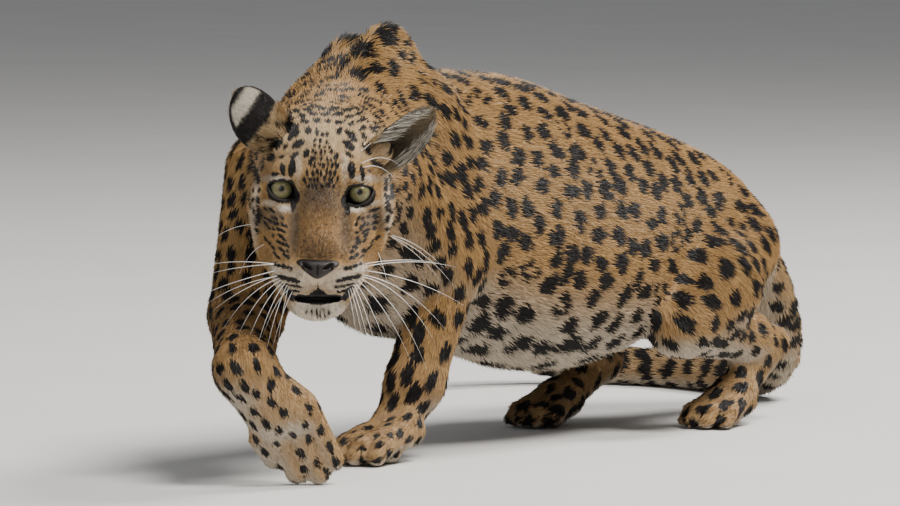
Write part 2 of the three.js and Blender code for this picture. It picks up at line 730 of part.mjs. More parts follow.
// An ear: a cup of even thickness that thins to its rim. Its root is sunk in the head.
const EARS = {
  ear_right: { base: [-49, 46, -48], up: [-0.8, 0.6, -0.05], face: [-0.5, -0.45, -0.74], height: 70, width: 68 },
  ear_left: { base: [56, 22, -48], up: [0.8, 0.58, -0.1], face: [0.2, -0.35, 0.9], height: 86, width: 62 },
};
const EAR_ROOT = 22;                // length of the root inside the head
const EAR_CURL = 62;                // degrees that each side of the cup turns forward

function earSolid({ base, up, face, height, width }) {
  const a = V(up).normalize();
  const n = V(face).addScaledVector(a, -V(face).dot(a)).normalize();
  const b = new THREE.Vector3().crossVectors(a, n);
  const outline = (s) => (width / 2) * (s < 0.42 ? mix(0.74, 1, Math.sin((s / 0.42) * Math.PI / 2))
    : Math.sqrt(Math.max(1 - ((s - 0.42) / 0.6) ** 2, 0)));
  const place = (inner) => (s, t) => {
    const side = 2 * t - 1;
    const curl = rad(EAR_CURL) * (1 - 0.45 * s);
    const radius = outline(s) / Math.sin(curl);
    const thick = inner ? EAR_THICKNESS * (1 - 0.5 * s) * (1 - 0.45 * side * side) : 0;
    const r = radius - thick;
    const angle = side * curl;
    const across = Math.sin(angle) * (inner ? Math.max(r, 0.5) : radius);
    const depth = radius - Math.cos(angle) * (inner ? Math.max(r, 0.5) : radius);
    const lean = -8 * s * s;
    return V(base).addScaledVector(a, height * s).addScaledVector(b, across)
      .addScaledVector(n, depth + lean - 10).toArray();
  };
  return inHead(sheet(8, 8, place(false), place(true)));
}

// An eye socket and the lids round it
function eyeAxes(s) {
  const look = V([0.16 * s, 0.12, 1]).normalize();
  const matrix = new THREE.Matrix4().lookAt(look, V([0, 0, 0]), V([0, 1, 0]));
  const slant = new THREE.Matrix4().makeRotationZ(rad(LID_SLANT * s));
  matrix.multiply(slant).setPosition((s * EYE_SPACING) / 2, 0, 0);
  return headMatrix().multiply(matrix);
}

function lidOpening(s) {
  const [wide, high] = LID_OPENING;
  const depth = 40;
  const tube = new THREE.CylinderGeometry(1, 1, depth, 16);
  const stretch = new THREE.Matrix4().makeScale(wide, high, 1);
  const lay = new THREE.Matrix4().makeRotationX(Math.PI / 2).setPosition(0, 0, depth / 2 + 1);
  return solidFrom(tube, eyeAxes(s).multiply(stretch).multiply(lay));
}

const ballAt = (matrix, radius, segments) => solidFrom(new THREE.SphereGeometry(radius, segments, segments / 2), matrix);

// The nose pad: broad above, narrowing to the groove of the lip, with two nostrils
function nosePad(growth) {
  const pad = new THREE.SphereGeometry(1, 16, 9);
  const place = pad.attributes.position;
  for (let i = 0; i < place.count; i++) {
    const [x, y, z] = [place.getX(i), place.getY(i), place.getZ(i)];
    const narrow = y < 0 ? 1 + 0.55 * y : 1;
    const width = (NOSE_PAD_WIDTH / 2 + growth) * narrow;
    place.setXYZ(i, x * width, y * (13 + growth) - 51, z * (12 + growth) + 82);
  }
  return solidFrom(pad, headMatrix());
}

function nostril(s) {
  const hole = new THREE.SphereGeometry(1, 10, 8);
  hole.scale(5.6, 3.4, 8);
  hole.rotateZ(rad(-24 * s));
  hole.translate(s * 10, -53, 92);
  return solidFrom(hole, headMatrix());
}

function buildHead() {
  const flesh = melt(24, neck, headForm);
  let solid = sampled(flesh, [[-240, -226, 160], [16, 70, 440]], CELLS.head);
  solid = withoutLegs(between(solid, [PLANES.headBack]));
  const pad = [-1, 1].reduce((a, s) => a.subtract(nostril(s)), nosePad(0));
  solid = solid.subtract(nosePad(CUT));
  keep('nose', pad, NOSE_SKIN);
  for (const [name, s] of [['eye_right', -1], ['eye_left', 1]]) {
    const axes = eyeAxes(s);
    solid = solid.add(ballAt(axes, EYE_RADIUS + LID_THICKNESS, 18));
    solid = solid.subtract(lidOpening(s)).subtract(ballAt(axes, EYE_RADIUS + CUT, 18));
    keep(name, ballAt(axes, EYE_RADIUS, 18), EYE_SHINE);
  }
  for (const [name, ear] of Object.entries(EARS)) {
    const up = V(ear.up).normalize();
    const face = V(ear.face).addScaledVector(up, -V(ear.face).dot(up)).normalize();
    const across = new THREE.Vector3().crossVectors(up, face);
    const matrix = new THREE.Matrix4().makeBasis(across, up, face)
      .setPosition(V(ear.base).addScaledVector(up, EAR_ROOT));
    const blade = solidFrom(new THREE.BoxGeometry(ear.width + 16, CUT, 62), headMatrix().multiply(matrix));
    const joined = solid.add(earSolid(ear)).subtract(blade);
    const parts = joined.decompose().sort((a, b) => b.volume() - a.volume());
    solid = parts[0];
    keep(name, parts[1], COAT);
  }
  const parts = solid.subtract(mouthCut()).decompose().sort((a, b) => b.volume() - a.volume());
  keep('head', parts[0], COAT);
  keep('lower_jaw', parts[1], PALE);
}

buildTrunk();
buildNeck();
buildLegs();
buildTail();
buildHead();

// Where the skin meets itself in one point, as between two toes, each side is drawn back a little.
const DRAWN_BACK = 0.1;

function unpinched({ points, triangles }) {
  const normals = points.map(() => V([0, 0, 0]));
  for (let i = 0; i < triangles.length; i += 3) {
    const [a, b, c] = triangles.slice(i, i + 3).map((index) => V(points[index]));
    const n = b.sub(a).cross(c.sub(a));
    triangles.slice(i, i + 3).forEach((index) => normals[index].add(n));
  }
  const places = new Map();
  points.forEach((p, i) => {
    const key = p.map((value) => value.toFixed(3)).join();
    places.set(key, [...(places.get(key) ?? []), i]);
  });
  for (const shared of places.values()) {
    if (shared.length < 2) continue;
    for (const i of shared) points[i] = V(points[i]).addScaledVector(normals[i].normalize(), -DRAWN_BACK).toArray();
  }
  return { points, triangles };
}

// The parts, moved so that the origin is on the floor under the middle of the whole animal
const group = new THREE.Group();
const whole = new THREE.Box3();
for (const { name, solid, look: finish } of BUILD) {
  const { vertProperties, triVerts } = solid.getMesh();
  const points = [];
  for (let i = 0; i < vertProperties.length; i += 3) points.push([...vertProperties.slice(i, i + 3)]);
  const clean = unpinched(thinned({ points, triangles: [...triVerts] }, 0, (length) => length < SHORTEST_EDGE));
  const geometry = new THREE.BufferGeometry();
  geometry.setAttribute('position', new THREE.BufferAttribute(Float32Array.from(clean.points.flat()), 3));
  geometry.setIndex(clean.triangles);
  geometry.computeBoundingBox();
  whole.union(geometry.boundingBox);
  const mesh = new THREE.Mesh(geometry, new THREE.MeshStandardMaterial(finish));
  mesh.name = name;
  group.add(mesh);
}
const middle = whole.getCenter(new THREE.Vector3());
for (const mesh of group.children) mesh.geometry.translate(-middle.x, -middle.y, -FLOOR);

export default group;
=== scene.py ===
"""Looks of a life-size leopard: skin, coat of fine tufts with its markings, eyes, nose, ears and whiskers.

Shapes are worked out in millimetres in the pose's own coordinates and brought into the frame in metres.
"""
from collections import namedtuple
import math

import bmesh
import bpy
import numpy as np
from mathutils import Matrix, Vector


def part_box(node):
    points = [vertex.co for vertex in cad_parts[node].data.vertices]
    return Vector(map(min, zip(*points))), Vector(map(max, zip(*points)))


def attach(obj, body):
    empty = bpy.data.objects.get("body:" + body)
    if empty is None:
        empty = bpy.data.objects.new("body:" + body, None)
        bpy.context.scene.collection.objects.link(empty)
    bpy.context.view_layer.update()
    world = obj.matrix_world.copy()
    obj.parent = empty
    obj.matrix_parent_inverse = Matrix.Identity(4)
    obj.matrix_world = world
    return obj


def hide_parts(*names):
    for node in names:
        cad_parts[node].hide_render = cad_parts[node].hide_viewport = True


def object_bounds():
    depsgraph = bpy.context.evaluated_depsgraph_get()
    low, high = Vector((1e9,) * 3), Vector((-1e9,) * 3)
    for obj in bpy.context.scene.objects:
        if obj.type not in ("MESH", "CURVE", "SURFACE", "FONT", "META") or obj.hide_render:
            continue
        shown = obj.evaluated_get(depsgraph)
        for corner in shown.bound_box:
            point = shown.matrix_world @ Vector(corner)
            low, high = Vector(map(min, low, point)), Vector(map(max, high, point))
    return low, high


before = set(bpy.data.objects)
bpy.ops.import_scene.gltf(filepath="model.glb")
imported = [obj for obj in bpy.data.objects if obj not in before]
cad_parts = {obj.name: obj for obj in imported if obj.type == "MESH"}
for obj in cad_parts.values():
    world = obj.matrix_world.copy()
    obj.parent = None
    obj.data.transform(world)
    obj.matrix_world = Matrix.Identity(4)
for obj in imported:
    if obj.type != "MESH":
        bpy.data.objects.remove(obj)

import openvdb
from mathutils import Vector
from mathutils.bvhtree import BVHTree

CAD_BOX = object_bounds()

bl_info = {
    "name": "Leopard looks",
    "version": (1, 0, 0),
    "blender": (4, 5, 0),
    "location": "3D View > Sidebar > Leopard",
    "description": "Builds the skin, coat, eyes, nose, ears and whiskers of a still leopard",
    "category": "Object",
}

MM = 0.001
SEED = 20
BODY = "root"

# Head pose and eyes, as the solids have them
EYE_RADIUS = 15.5
EYE_SPACING = 86.0
HEAD_ORIGIN = np.array([-106.0, -95.0, 324.0])
HEAD_TURN, HEAD_NOD, HEAD_ROLL = (math.radians(a) for a in (39, 17.5, 2.6))

# Viewing plane of the camera: across, up and towards the camera
VIEW_TURN = math.radians(39)
VIEW_DROP = math.radians(4)
CAMERA_DISTANCE = 7500.0
CAMERA_HEIGHT = 780.0
CAMERA_LENS = 272.7


# Vectors and axes

def unit(v):
    v = np.asarray(v, float)
    return v / np.maximum(np.linalg.norm(v, axis=-1, keepdims=True), 1e-9)


def head_axes():
    """Rows u (animal's left), v (up) and w (forward) of the head."""
    ahead = np.array([math.sin(HEAD_TURN), -math.cos(HEAD_TURN), 0])
    w = ahead * math.cos(HEAD_NOD) + np.array([0, 0, -math.sin(HEAD_NOD)])
    side = np.array([math.cos(HEAD_TURN), math.sin(HEAD_TURN), 0])
    up = np.cross(w, side)
    u = side * math.cos(HEAD_ROLL) - up * math.sin(HEAD_ROLL)
    v = up * math.cos(HEAD_ROLL) + side * math.sin(HEAD_ROLL)
    return np.array([u, v, w])


HEAD = head_axes()


def view_axes():
    """Rows across, up and towards the camera, of the plane that faces it."""
    across = np.array([math.cos(VIEW_TURN), math.sin(VIEW_TURN), 0])
    level = math.cos(VIEW_DROP)
    towards = np.array([math.sin(VIEW_TURN) * level, -math.cos(VIEW_TURN) * level, math.sin(VIEW_DROP)])
    return np.array([across, np.cross(towards, across), towards])


VIEW = view_axes()


def in_head(p):
    return (p - HEAD_ORIGIN) @ HEAD.T


def out_of_head(q):
    return HEAD_ORIGIN + np.asarray(q, float) @ HEAD


def in_view(p):
    """Across, up and towards the camera from midway between the eyes."""
    return (p - HEAD_ORIGIN) @ VIEW.T


def shift_to_frame():
    low, high = (np.array(c) * 1000 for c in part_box("eye_left"))
    return (low + high) / 2 - out_of_head([EYE_SPACING / 2, 0, 0])


SHIFT = shift_to_frame()


def to_frame(p):
    return (np.asarray(p, float) + SHIFT) * MM


# Implicit forms: each gives the distance from points to its skin, negative inside

def egg(c, r):
    """An ellipsoid from its centre and its three half sizes."""
    c, r = np.array(c, float), np.array(r, float)

    def form(p):
        q = (p - c) / r
        k = np.linalg.norm(q, axis=1)
        return k * (k - 1) / np.maximum(np.linalg.norm(q / r, axis=1), 1e-9)
    return form


def beside(p, a, b):
    """Share of the way from a to b that is nearest to each point, and the distance from there."""
    e = b - a
    q = p - a
    t = np.clip(q @ e / (e @ e), 0, 1)
    return t, np.linalg.norm(q - t[:, None] * e, axis=1)


def limb(a, ra, b, rb):
    """A round-ended rod from a to b, with a radius at each end."""
    a, b = np.array(a, float), np.array(b, float)

    def form(p):
        t, off = beside(p, a, b)
        return off - (ra + (rb - ra) * t)
    return form


def pair(form, *args):
    """A form and its mirror image across the middle of the animal's own axes."""
    def flip(arg):
        return [-arg[0], arg[1], arg[2]] if isinstance(arg, (list, tuple)) else arg
    flipped = [flip(args[0]), args[1]] if form is egg else [flip(a) for a in args]
    return [form(*args), form(*flipped)]


def flat(forms):
    for f in forms:
        if isinstance(f, (list, tuple)):
            yield from flat(f)
        else:
            yield f


def melt(size, *forms):
    """Forms joined, with fillets of the size where they meet."""
    parts = list(flat(forms))

    def form(p):
        d = parts[0](p)
        for part in parts[1:]:
            e = part(p)
            h = np.maximum(size - np.abs(d - e), 0) / size
            d = np.minimum(d, e) - h * h * size * 0.25
        return d
    return form


def within_head(form):
    return lambda p: form(in_head(p))


# Trunk sections: y, x, z, half width, above, below
TRUNK_SECTIONS = np.array([
    [40, -232, 305, 50, 66, 66],
    [90, -243, 305, 80, 116, 108],
    [150, -251, 298, 94, 150, 146],
    [220, -255, 285, 102, 162, 150],
    [300, -256, 268, 112, 175, 148],
    [410, -256, 245, 122, 187, 156],
    [517, -256, 235, 122, 168, 152],
    [610, -256, 232, 112, 147, 134],
    [690, -256, 232, 97, 126, 104],
    [798, -256, 228, 84, 91, 70],
    [860, -256, 212, 66, 64, 50],
    [905, -256, 205, 38, 36, 34],
], float)


def loft(sections):
    """A body through upright sections, each an oval with its own half width, top and bottom."""
    ys, rows = sections[:, 0], sections[:, 1:]
    slopes = np.zeros_like(rows)
    slopes[1:-1] = (rows[2:] - rows[:-2]) / (ys[2:] - ys[:-2])[:, None]

    def form(p):
        y = np.clip(p[:, 1], ys[0], ys[-1])
        i = np.clip(np.searchsorted(ys, y) - 1, 0, len(ys) - 2)
        span = (ys[i + 1] - ys[i])[:, None]
        t = ((y - ys[i]) / span[:, 0])[:, None]
        row = ((2 * t**3 - 3 * t**2 + 1) * rows[i] + (t**3 - 2 * t**2 + t) * slopes[i] * span
               + (3 * t**2 - 2 * t**3) * rows[i + 1] + (t**3 - t**2) * slopes[i + 1] * span)
        dx, dz = p[:, 0] - row[:, 0], p[:, 2] - row[:, 1]
        q = np.hypot(dx / row[:, 2], dz / np.where(dz > 0, row[:, 3], row[:, 4]))
        across = np.where(q < 1e-6, -row[:, 2], np.hypot(dx, dz) * (1 - 1 / np.maximum(q, 1e-6)))
        along = np.abs(p[:, 1] - y)
        outside = np.hypot(along, np.maximum(across, 0)) + np.minimum(across, 0)
        return np.where(along > 0, outside, across)
    return form


HEAD_FORMS = [
    egg([0, 14, -64], [58, 50, 70]),
    egg([0, 4, -100], [60, 56, 56]),
    egg([0, 25, -22], [41, 30, 38]),
    pair(egg, [35, 18, -5], [20, 15, 18]),
    pair(limb, [53, -20, -9], 20, [54, -30, -56], 26),
    pair(egg, [44, -50, -46], [32, 38, 42]),
    limb([0, 6, 10], 25, [0, -36, 66], 19),
    pair(limb, [28, -30, 20], 23, [21, -56, 56], 20),
    pair(egg, [24, -67, 58], [26, 21, 28]),
    pair(egg, [36, -46, 10], [24, 30, 34]),
    limb([0, -44, 66], 19, [0, -62, 66], 18),
    limb([-48, 32, -50], 17, [-58, 45, -52], 15),
    limb([50, 25, -52], 18, [62, 31, -52], 16),
]
JAW_FORMS = [
    egg([0, -108, 50], [25, 23, 26]),
    pair(limb, [17, -104, 42], 21, [40, -80, -30], 27),
    limb([0, -96, 10], 32, [0, -76, -70], 46),
]
NECK_FORMS = [
    limb([-244, 112, 364], 88, [-196, 30, 342], 80),
    limb([-196, 30, 342], 80, [-160, -26, 334], 70),
    limb([-238, 80, 280], 76, [-166, -26, 284], 52),
]
WITHERS_FORMS = [
    egg([-214, 148, 418], [27, 64, 84]),
    egg([-274, 158, 403], [30, 64, 84]),
]
UPPER_FORE_LEFT = [
    limb([-180, 84, 344], 52, [-186, 218, 226], 43),
    limb([-208, 196, 396], 50, [-188, 234, 232], 37),
]
FORE_LEFT = [
    limb([-188, 224, 216], 41, [-203, 187, 88], 34),
    limb([-203, 187, 88], 34, [-212, 168, 48], 28),
]
UPPER_FORE_RIGHT = [
    limb([-290, 38, 332], 54, [-262, -38, 182], 43),
    limb([-284, 122, 366], 48, [-268, -6, 206], 38),
]
FORE_RIGHT = [
    limb([-260, -43, 172], 42, [-160, -162, 137], 33),
    egg([-152, -170, 132], [33, 33, 33]),
]
THIGH_LEFT = [
    limb([-200, 796, 212], 54, [-170, 690, 172], 64),
    limb([-170, 700, 170], 60, [-156, 632, 138], 44),
]
HIND_LEFT = [
    limb([-156, 630, 132], 42, [-168, 776, 104], 30),
    limb([-168, 776, 104], 30, [-170, 822, 94], 23),
    limb([-170, 822, 92], 23, [-166, 742, 34], 24),
]
THIGH_RIGHT = [
    limb([-312, 796, 214], 56, [-344, 680, 196], 64),
    limb([-344, 690, 190], 62, [-360, 606, 186], 42),
]
HIND_RIGHT = [
    limb([-360, 606, 182], 40, [-346, 690, 100], 29),
    limb([-346, 690, 100], 29, [-342, 716, 72], 22),
    limb([-342, 716, 70], 23, [-334, 622, 30], 24),
]


def paw_forms(x, y, heading, size):
    """A standing paw: block, four toes and pad, from the middle of its sole."""
    turn = math.radians(heading)
    across = np.array([math.cos(turn), math.sin(turn), 0])
    ahead = np.array([math.sin(turn), -math.cos(turn), 0])
    axes = np.array([across, ahead, [0, 0, 1]])
    origin = np.array([x, y, -1.5])

    def s(values):
        return [v * size for v in values]
    toes = []
    for side, reach in ((-32, 30), (-12, 44), (12, 44), (32, 30)):
        toes.append(limb(s([side * 0.7, 0, 29]), 15 * size, s([side * 0.94, reach - 12, 24]), 13.5 * size))
        toes.append(limb(s([side * 0.94, reach - 12, 22]), 13 * size, s([side, reach, 13]), 12.5 * size))
    block = pair(limb, s([12, -36, 38]), 22 * size, s([16, 4, 27]), 20 * size)
    whole = melt(5, block, toes, egg(s([0, -4, 13]), s([30, 25, 14])))
    return lambda p: whole((p - origin) @ axes.T)


HANGING_KNUCKLES = [[-146, -148, 54], [-132, -138, 62], [-117, -128, 70], [-105, -117, 78]]
HANGING_TIPS = [[-144, -132, 30], [-124, -116, 12.5], [-105, -101, 12], [-92, -92, 28]]
HANGING_PAW = melt(
    6,
    limb([-153, -168, 124], 32, [-136, -144, 82], 32),
    limb([-148, -166, 120], 30, [-116, -128, 84], 28),
    [limb(k, 17, t, 13.5) for k, t in zip(HANGING_KNUCKLES, HANGING_TIPS)],
)
FOREPAW_LEFT = paw_forms(-206, 122, -8, 1)
HINDPAW_LEFT = paw_forms(-164, 716, 2, 0.9)
HINDPAW_RIGHT = paw_forms(-332, 592, 4, 0.9)

TAIL_PATH = np.array([
    [-256, 860, 222], [-262, 926, 180], [-276, 984, 112], [-310, 1032, 56], [-370, 1064, 28],
    [-450, 1090, 24], [-530, 1106, 24], [-606, 1096, 24], [-672, 1056, 30], [-714, 996, 52], [-724, 936, 80],
], float)
TAIL_RADII = (33, 23.5)
TAIL_STEPS = 26


def between(four, t):
    """A smooth line's point between the middle two of four points, t of the way along."""
    p0, p1, p2, p3 = four
    return 0.5 * (2 * p1 + (p2 - p0) * t + (2 * p0 - 5 * p1 + 4 * p2 - p3) * t * t
                  + (3 * p1 - p0 - 3 * p2 + p3) * t**3)


def run(points):
    """Length of a line of points up to each of them."""
    return np.concatenate([[0], np.cumsum(np.linalg.norm(np.diff(points, axis=0), axis=1))])


def smooth_line(points, steps):
    """Evenly spaced points on a smooth line through the given ones."""
    pts = np.vstack([2 * points[0] - points[1], points, 2 * points[-1] - points[-2]])
    dense = [between(pts[i - 1:i + 3], t) for i in range(1, len(pts) - 2)
             for t in np.linspace(0, 1, 12, endpoint=False)]
    dense = np.array(dense + [points[-1]])
    length = run(dense)
    at = np.linspace(0, length[-1], steps + 1)
    return np.stack([np.interp(at, length, dense[:, k]) for k in range(3)], 1)


TAIL_LINE = smooth_line(TAIL_PATH, TAIL_STEPS)


def tail_form():
    def radius(i):
        return TAIL_RADII[0] + (TAIL_RADII[1] - TAIL_RADII[0]) * (i / TAIL_STEPS) ** 0.7
    steps = range(TAIL_STEPS)
    return melt(6, [limb(TAIL_LINE[i], radius(i), TAIL_LINE[i + 1], radius(i + 1)) for i in steps])


LID_THICKNESS = 1.6
EYE_CENTRES = [out_of_head([s * EYE_SPACING / 2, 0, 0]) for s in (-1, 1)]

tail = tail_form()
neck = melt(30, NECK_FORMS)
upper_forelegs = melt(22, UPPER_FORE_LEFT, UPPER_FORE_RIGHT)
trunk = melt(34, loft(TRUNK_SECTIONS), WITHERS_FORMS)
shoulders = melt(34, trunk, neck, upper_forelegs)
thighs = melt(26, THIGH_LEFT, THIGH_RIGHT)
rear = melt(30, trunk, thighs, tail)
skull = melt(16, within_head(melt(16, HEAD_FORMS, JAW_FORMS)))
lids = [egg(c, [EYE_RADIUS + LID_THICKNESS] * 3) for c in EYE_CENTRES]
head = melt(5, skull, lids)
legs = {
    "foreleg_left": melt(16, UPPER_FORE_LEFT, FORE_LEFT, FOREPAW_LEFT),
    "foreleg_right": melt(16, UPPER_FORE_RIGHT, FORE_RIGHT, HANGING_PAW),
    "hindleg_left": melt(18, THIGH_LEFT, HIND_LEFT, HINDPAW_LEFT),
    "hindleg_right": melt(18, THIGH_RIGHT, HIND_RIGHT, HINDPAW_RIGHT),
}
flesh = melt(5, melt(24, shoulders, head), rear, list(legs.values()))


# Coat regions: how the hair lies, how long and deep it is, and how the spots are set

def follow(points, reach=26):
    """Directions along a line of points, blended where it bends."""
    points = np.array(points, float)

    def lie(p):
        total = np.zeros_like(p)
        for a, b in zip(points[:-1], points[1:]):
            _, off = beside(p, a, b)
            total += np.exp(-off / reach)[:, None] * unit(b - a)
        return unit(total)
    return lie


def steady(direction, sink=0.0):
    """One direction, turned down on the flanks by the sink."""
    direction = unit(np.array(direction, float))

    def lie(p):
        return unit(direction + np.zeros_like(p) + np.array([0, 0, -sink]))
    return lie


NOSE_TIP = np.array([0, -52, 96.0])


def from_nose(p):
    """The lie of the hair on the head: away from the nose, and down on the chin."""
    q = in_head(p) - NOSE_TIP
    q[:, 2] -= 14
    q[:, 1] += np.where(q[:, 1] < -30, 18, 0)
    return unit(q) @ HEAD


FORE_LEFT_LINE = [[-200, 150, 420], [-186, 216, 240], [-203, 187, 88], [-212, 165, 46], [-212, 110, 22],
                  [-216, 70, 8]]
FORE_RIGHT_LINE = [[-286, 80, 380], [-264, -30, 190], [-156, -166, 134], [-136, -146, 80], [-114, -112, 14]]
HIND_LEFT_LINE = [[-156, 620, 132], [-168, 770, 104], [-172, 826, 84], [-166, 742, 34], [-164, 676, 10]]
HIND_RIGHT_LINE = [[-360, 600, 186], [-346, 690, 100], [-342, 722, 66], [-334, 622, 30], [-330, 556, 10]]
TRUNK_LINE = [[-240, 60, 305], [-256, 200, 290], [-256, 410, 245], [-256, 690, 232], [-256, 900, 205]]
NECK_LINE = [[-150, -30, 320], [-200, 40, 330], [-250, 130, 350]]

Region = namedtuple("Region", "name form lie hair depth spacing long wide ringed line")
THIGH_COAT = (12.0, 3.8, 25.0, 13.0, 10.6, 0.25)
HINDLEG_COAT = (8.0, 2.4, 22.0, 10.6, 8.4, 0.0)

# After name, form and lie: length of the hair, depth of the coat, spacing and half sizes of the spots, in mm,
# the share of spots that are rosettes, and the line that the piece is unwrapped round
REGIONS = [
    Region("head", head, from_nose, 5.6, 1.6, 16.5, 7.6, 4.4, 0.0, None),
    Region("neck", neck, steady([-0.45, 0.86, -0.1]), 12.0, 3.6, 17.0, 8.8, 6.0, 0.0, NECK_LINE),
    Region("trunk", trunk, steady([0, 1, -0.12], 0.12), 11.5, 4.2, 24.5, 12.9, 11.4, 0.22, TRUNK_LINE),
    Region("shoulder_left", melt(16, UPPER_FORE_LEFT), follow(FORE_LEFT_LINE[:3], 40),
           11.0, 3.6, 18.8, 11.0, 7.4, 0.1, FORE_LEFT_LINE),
    Region("shoulder_right", melt(16, UPPER_FORE_RIGHT), follow(FORE_RIGHT_LINE[:3], 40),
           11.0, 3.6, 18.6, 10.6, 7.2, 0.0, FORE_RIGHT_LINE),
    Region("forearm_left", melt(16, FORE_LEFT), follow(FORE_LEFT_LINE),
           9.0, 3.0, 23.5, 12.4, 9.2, 0.0, FORE_LEFT_LINE),
    Region("forearm_right", melt(16, FORE_RIGHT), follow(FORE_RIGHT_LINE),
           8.0, 2.6, 19.5, 9.8, 7.0, 0.0, FORE_RIGHT_LINE),
    Region("forepaw_left", FOREPAW_LEFT, follow(FORE_LEFT_LINE),
           6.0, 1.8, 16.0, 6.6, 5.0, 0.0, FORE_LEFT_LINE),
    Region("forepaw_right", HANGING_PAW, follow(FORE_RIGHT_LINE),
           6.0, 1.8, 16.5, 6.6, 5.0, 0.0, FORE_RIGHT_LINE),
    Region("thigh_left", melt(18, THIGH_LEFT), steady([0.05, 0.5, -0.86]), *THIGH_COAT, TRUNK_LINE),
    Region("thigh_right", melt(18, THIGH_RIGHT), steady([-0.05, 0.5, -0.86]), *THIGH_COAT, TRUNK_LINE),
    Region("hindleg_left", melt(18, HIND_LEFT, HINDPAW_LEFT), follow(HIND_LEFT_LINE), *HINDLEG_COAT,
           HIND_LEFT_LINE),
    Region("hindleg_right", melt(18, HIND_RIGHT, HINDPAW_RIGHT), follow(HIND_RIGHT_LINE), *HINDLEG_COAT,
           HIND_RIGHT_LINE),
    Region("tail", tail, follow(TAIL_LINE, 30), 12.0, 3.4, 27.0, 11.0, 9.0, 0.0, TAIL_LINE),
]
REGION_NAMES = [r.name for r in REGIONS]
BLEND_REACH = 10.0


def region_weights(p):
    """How much each point belongs to each region, with soft borders."""
    d = np.stack([r.form(p) for r in REGIONS], 1)
    w = np.exp(-(d - d.min(1, keepdims=True)) / BLEND_REACH)
    return w / w.sum(1, keepdims=True)


def each(field):
    """One value of every region, in the order of the weights."""
    return np.array([getattr(r, field) for r in REGIONS])


def share(weights, *names):
    """How much of each point belongs to the named regions."""
    return weights[:, [REGION_NAMES.index(n) for n in names]].sum(1)


LATTICE = np.random.default_rng(SEED + 3).uniform(-1, 1, (32, 32, 32))


def mottle(p, size):
    """Soft random shading between -1 and 1, with patches about as large as the size."""
    q = p / size
    low = np.floor(q).astype(int)
    t = q - low
    t = t * t * (3 - 2 * t)
    total = np.zeros(len(p))
    for corner in range(8):
        step = np.array([corner & 1, corner >> 1 & 1, corner >> 2])
        index = (low + step) % len(LATTICE)
        total += LATTICE[index[:, 0], index[:, 1], index[:, 2]] * np.where(step, t, 1 - t).prod(1)
    return total


def smoothstep(low, high, x):
    """0 at the low value, 1 at the high one, and a soft rise between."""
    t = np.clip((x - low) / (high - low), 0, 1)
    return t * t * (3 - 2 * t)


THINNER_ON_FACE = 0.55     # share of its depth that the coat loses from the crown to the muzzle


def coat_depth(p, weights):
    """Depth of the coat over the skin, thin on the muzzle."""
    depth = weights @ each("depth")
    return depth * (1 - THINNER_ON_FACE * share(weights, "head") * smoothstep(-80, 10, in_head(p)[:, 2]))


# The skin: sampled coarse to fine on a grid, made finer on the face, then drawn onto the form

VOXEL = 5.6
BLOCK = 4                  # fine cells along a coarse one
SKIN_LOW = np.array([-770.0, -230.0, -20.0])
SKIN_HIGH = np.array([-30.0, 1160.0, 560.0])
FAR = 60.0


def cells(counts):
    """Every place of a grid with so many cells each way."""
    return np.stack(np.meshgrid(*[np.arange(k) for k in counts], indexing="ij"), -1).reshape(-1, 3)


def skin_grid():
    """Distances to the flesh on a grid: fine near its surface, and only inside or outside elsewhere."""
    step = VOXEL * BLOCK
    n = np.ceil((SKIN_HIGH - SKIN_LOW) / step).astype(int)
    index = cells(n)
    d = flesh(SKIN_LOW + (index + 0.5) * step - VOXEL / 2)
    values = np.sign(d.reshape(n)).repeat(BLOCK, 0).repeat(BLOCK, 1).repeat(BLOCK, 2) * FAR
    active = index[np.abs(d) < step * 1.15]
    fine = (active[:, None] * BLOCK + cells([BLOCK] * 3)[None]).reshape(-1, 3)
    values[fine[:, 0], fine[:, 1], fine[:, 2]] = flesh(SKIN_LOW + fine * VOXEL)
    return values.astype(np.float32)


def polygons(values, low, size):
    """Points and faces of the surface where a grid of distances is zero."""
    grid = openvdb.FloatGrid(FAR)
    grid.copyFromArray(values)
    points, triangles, quads = grid.convertToPolygons(isovalue=0.0, adaptivity=0.0)
    faces = [tuple(f) for f in triangles] + [tuple(f) for f in quads]
    return low + points.astype(float) * size, faces


def slope(form, p, e=0.6):
    """How fast a form's distance grows each way at each point."""
    g = np.empty_like(p)
    for k in range(3):
        step = np.zeros(3)
        step[k] = e
        g[:, k] = (form(p + step) - form(p - step)) / (2 * e)
    return g


def settle(p, depth, rounds, most=4.0):
    """Draws points onto the level of the form that lies the coat's depth inside it."""
    for _ in range(rounds):
        g = slope(flesh, p)
        step = (flesh(p) + depth) / np.maximum((g * g).sum(1), 0.05)
        p = p - g * np.clip(step, -most, most)[:, None]
    return p


# Where the skin is split finer: ahead of, half width, above and below, in the head's own mm
HEAD_WINDOW = (-60, 95, -140, 90)
FACE_WINDOW = (-22, 66, -128, 26)


def in_window(p, ahead, half, low, high):
    q = in_head(p)
    return (q[:, 2] > ahead) & (np.abs(q[:, 0]) < half) & (q[:, 1] > low) & (q[:, 1] < high)


def finer(mesh, window):
    """Splits each face whose middle is in the window into four."""
    bm = bmesh.new()
    bm.from_mesh(mesh)
    middles = np.array([f.calc_center_median() for f in bm.faces])
    chosen = in_window(middles, *window)
    edges = {e for f, c in zip(bm.faces, chosen) if c for e in f.edges}
    bmesh.ops.subdivide_edges(bm, edges=list(edges), cuts=1, use_grid_fill=True)
    bmesh.ops.triangulate(bm, faces=[f for f in bm.faces if len(f.verts) > 4])
    bm.to_mesh(mesh)
    bm.free()


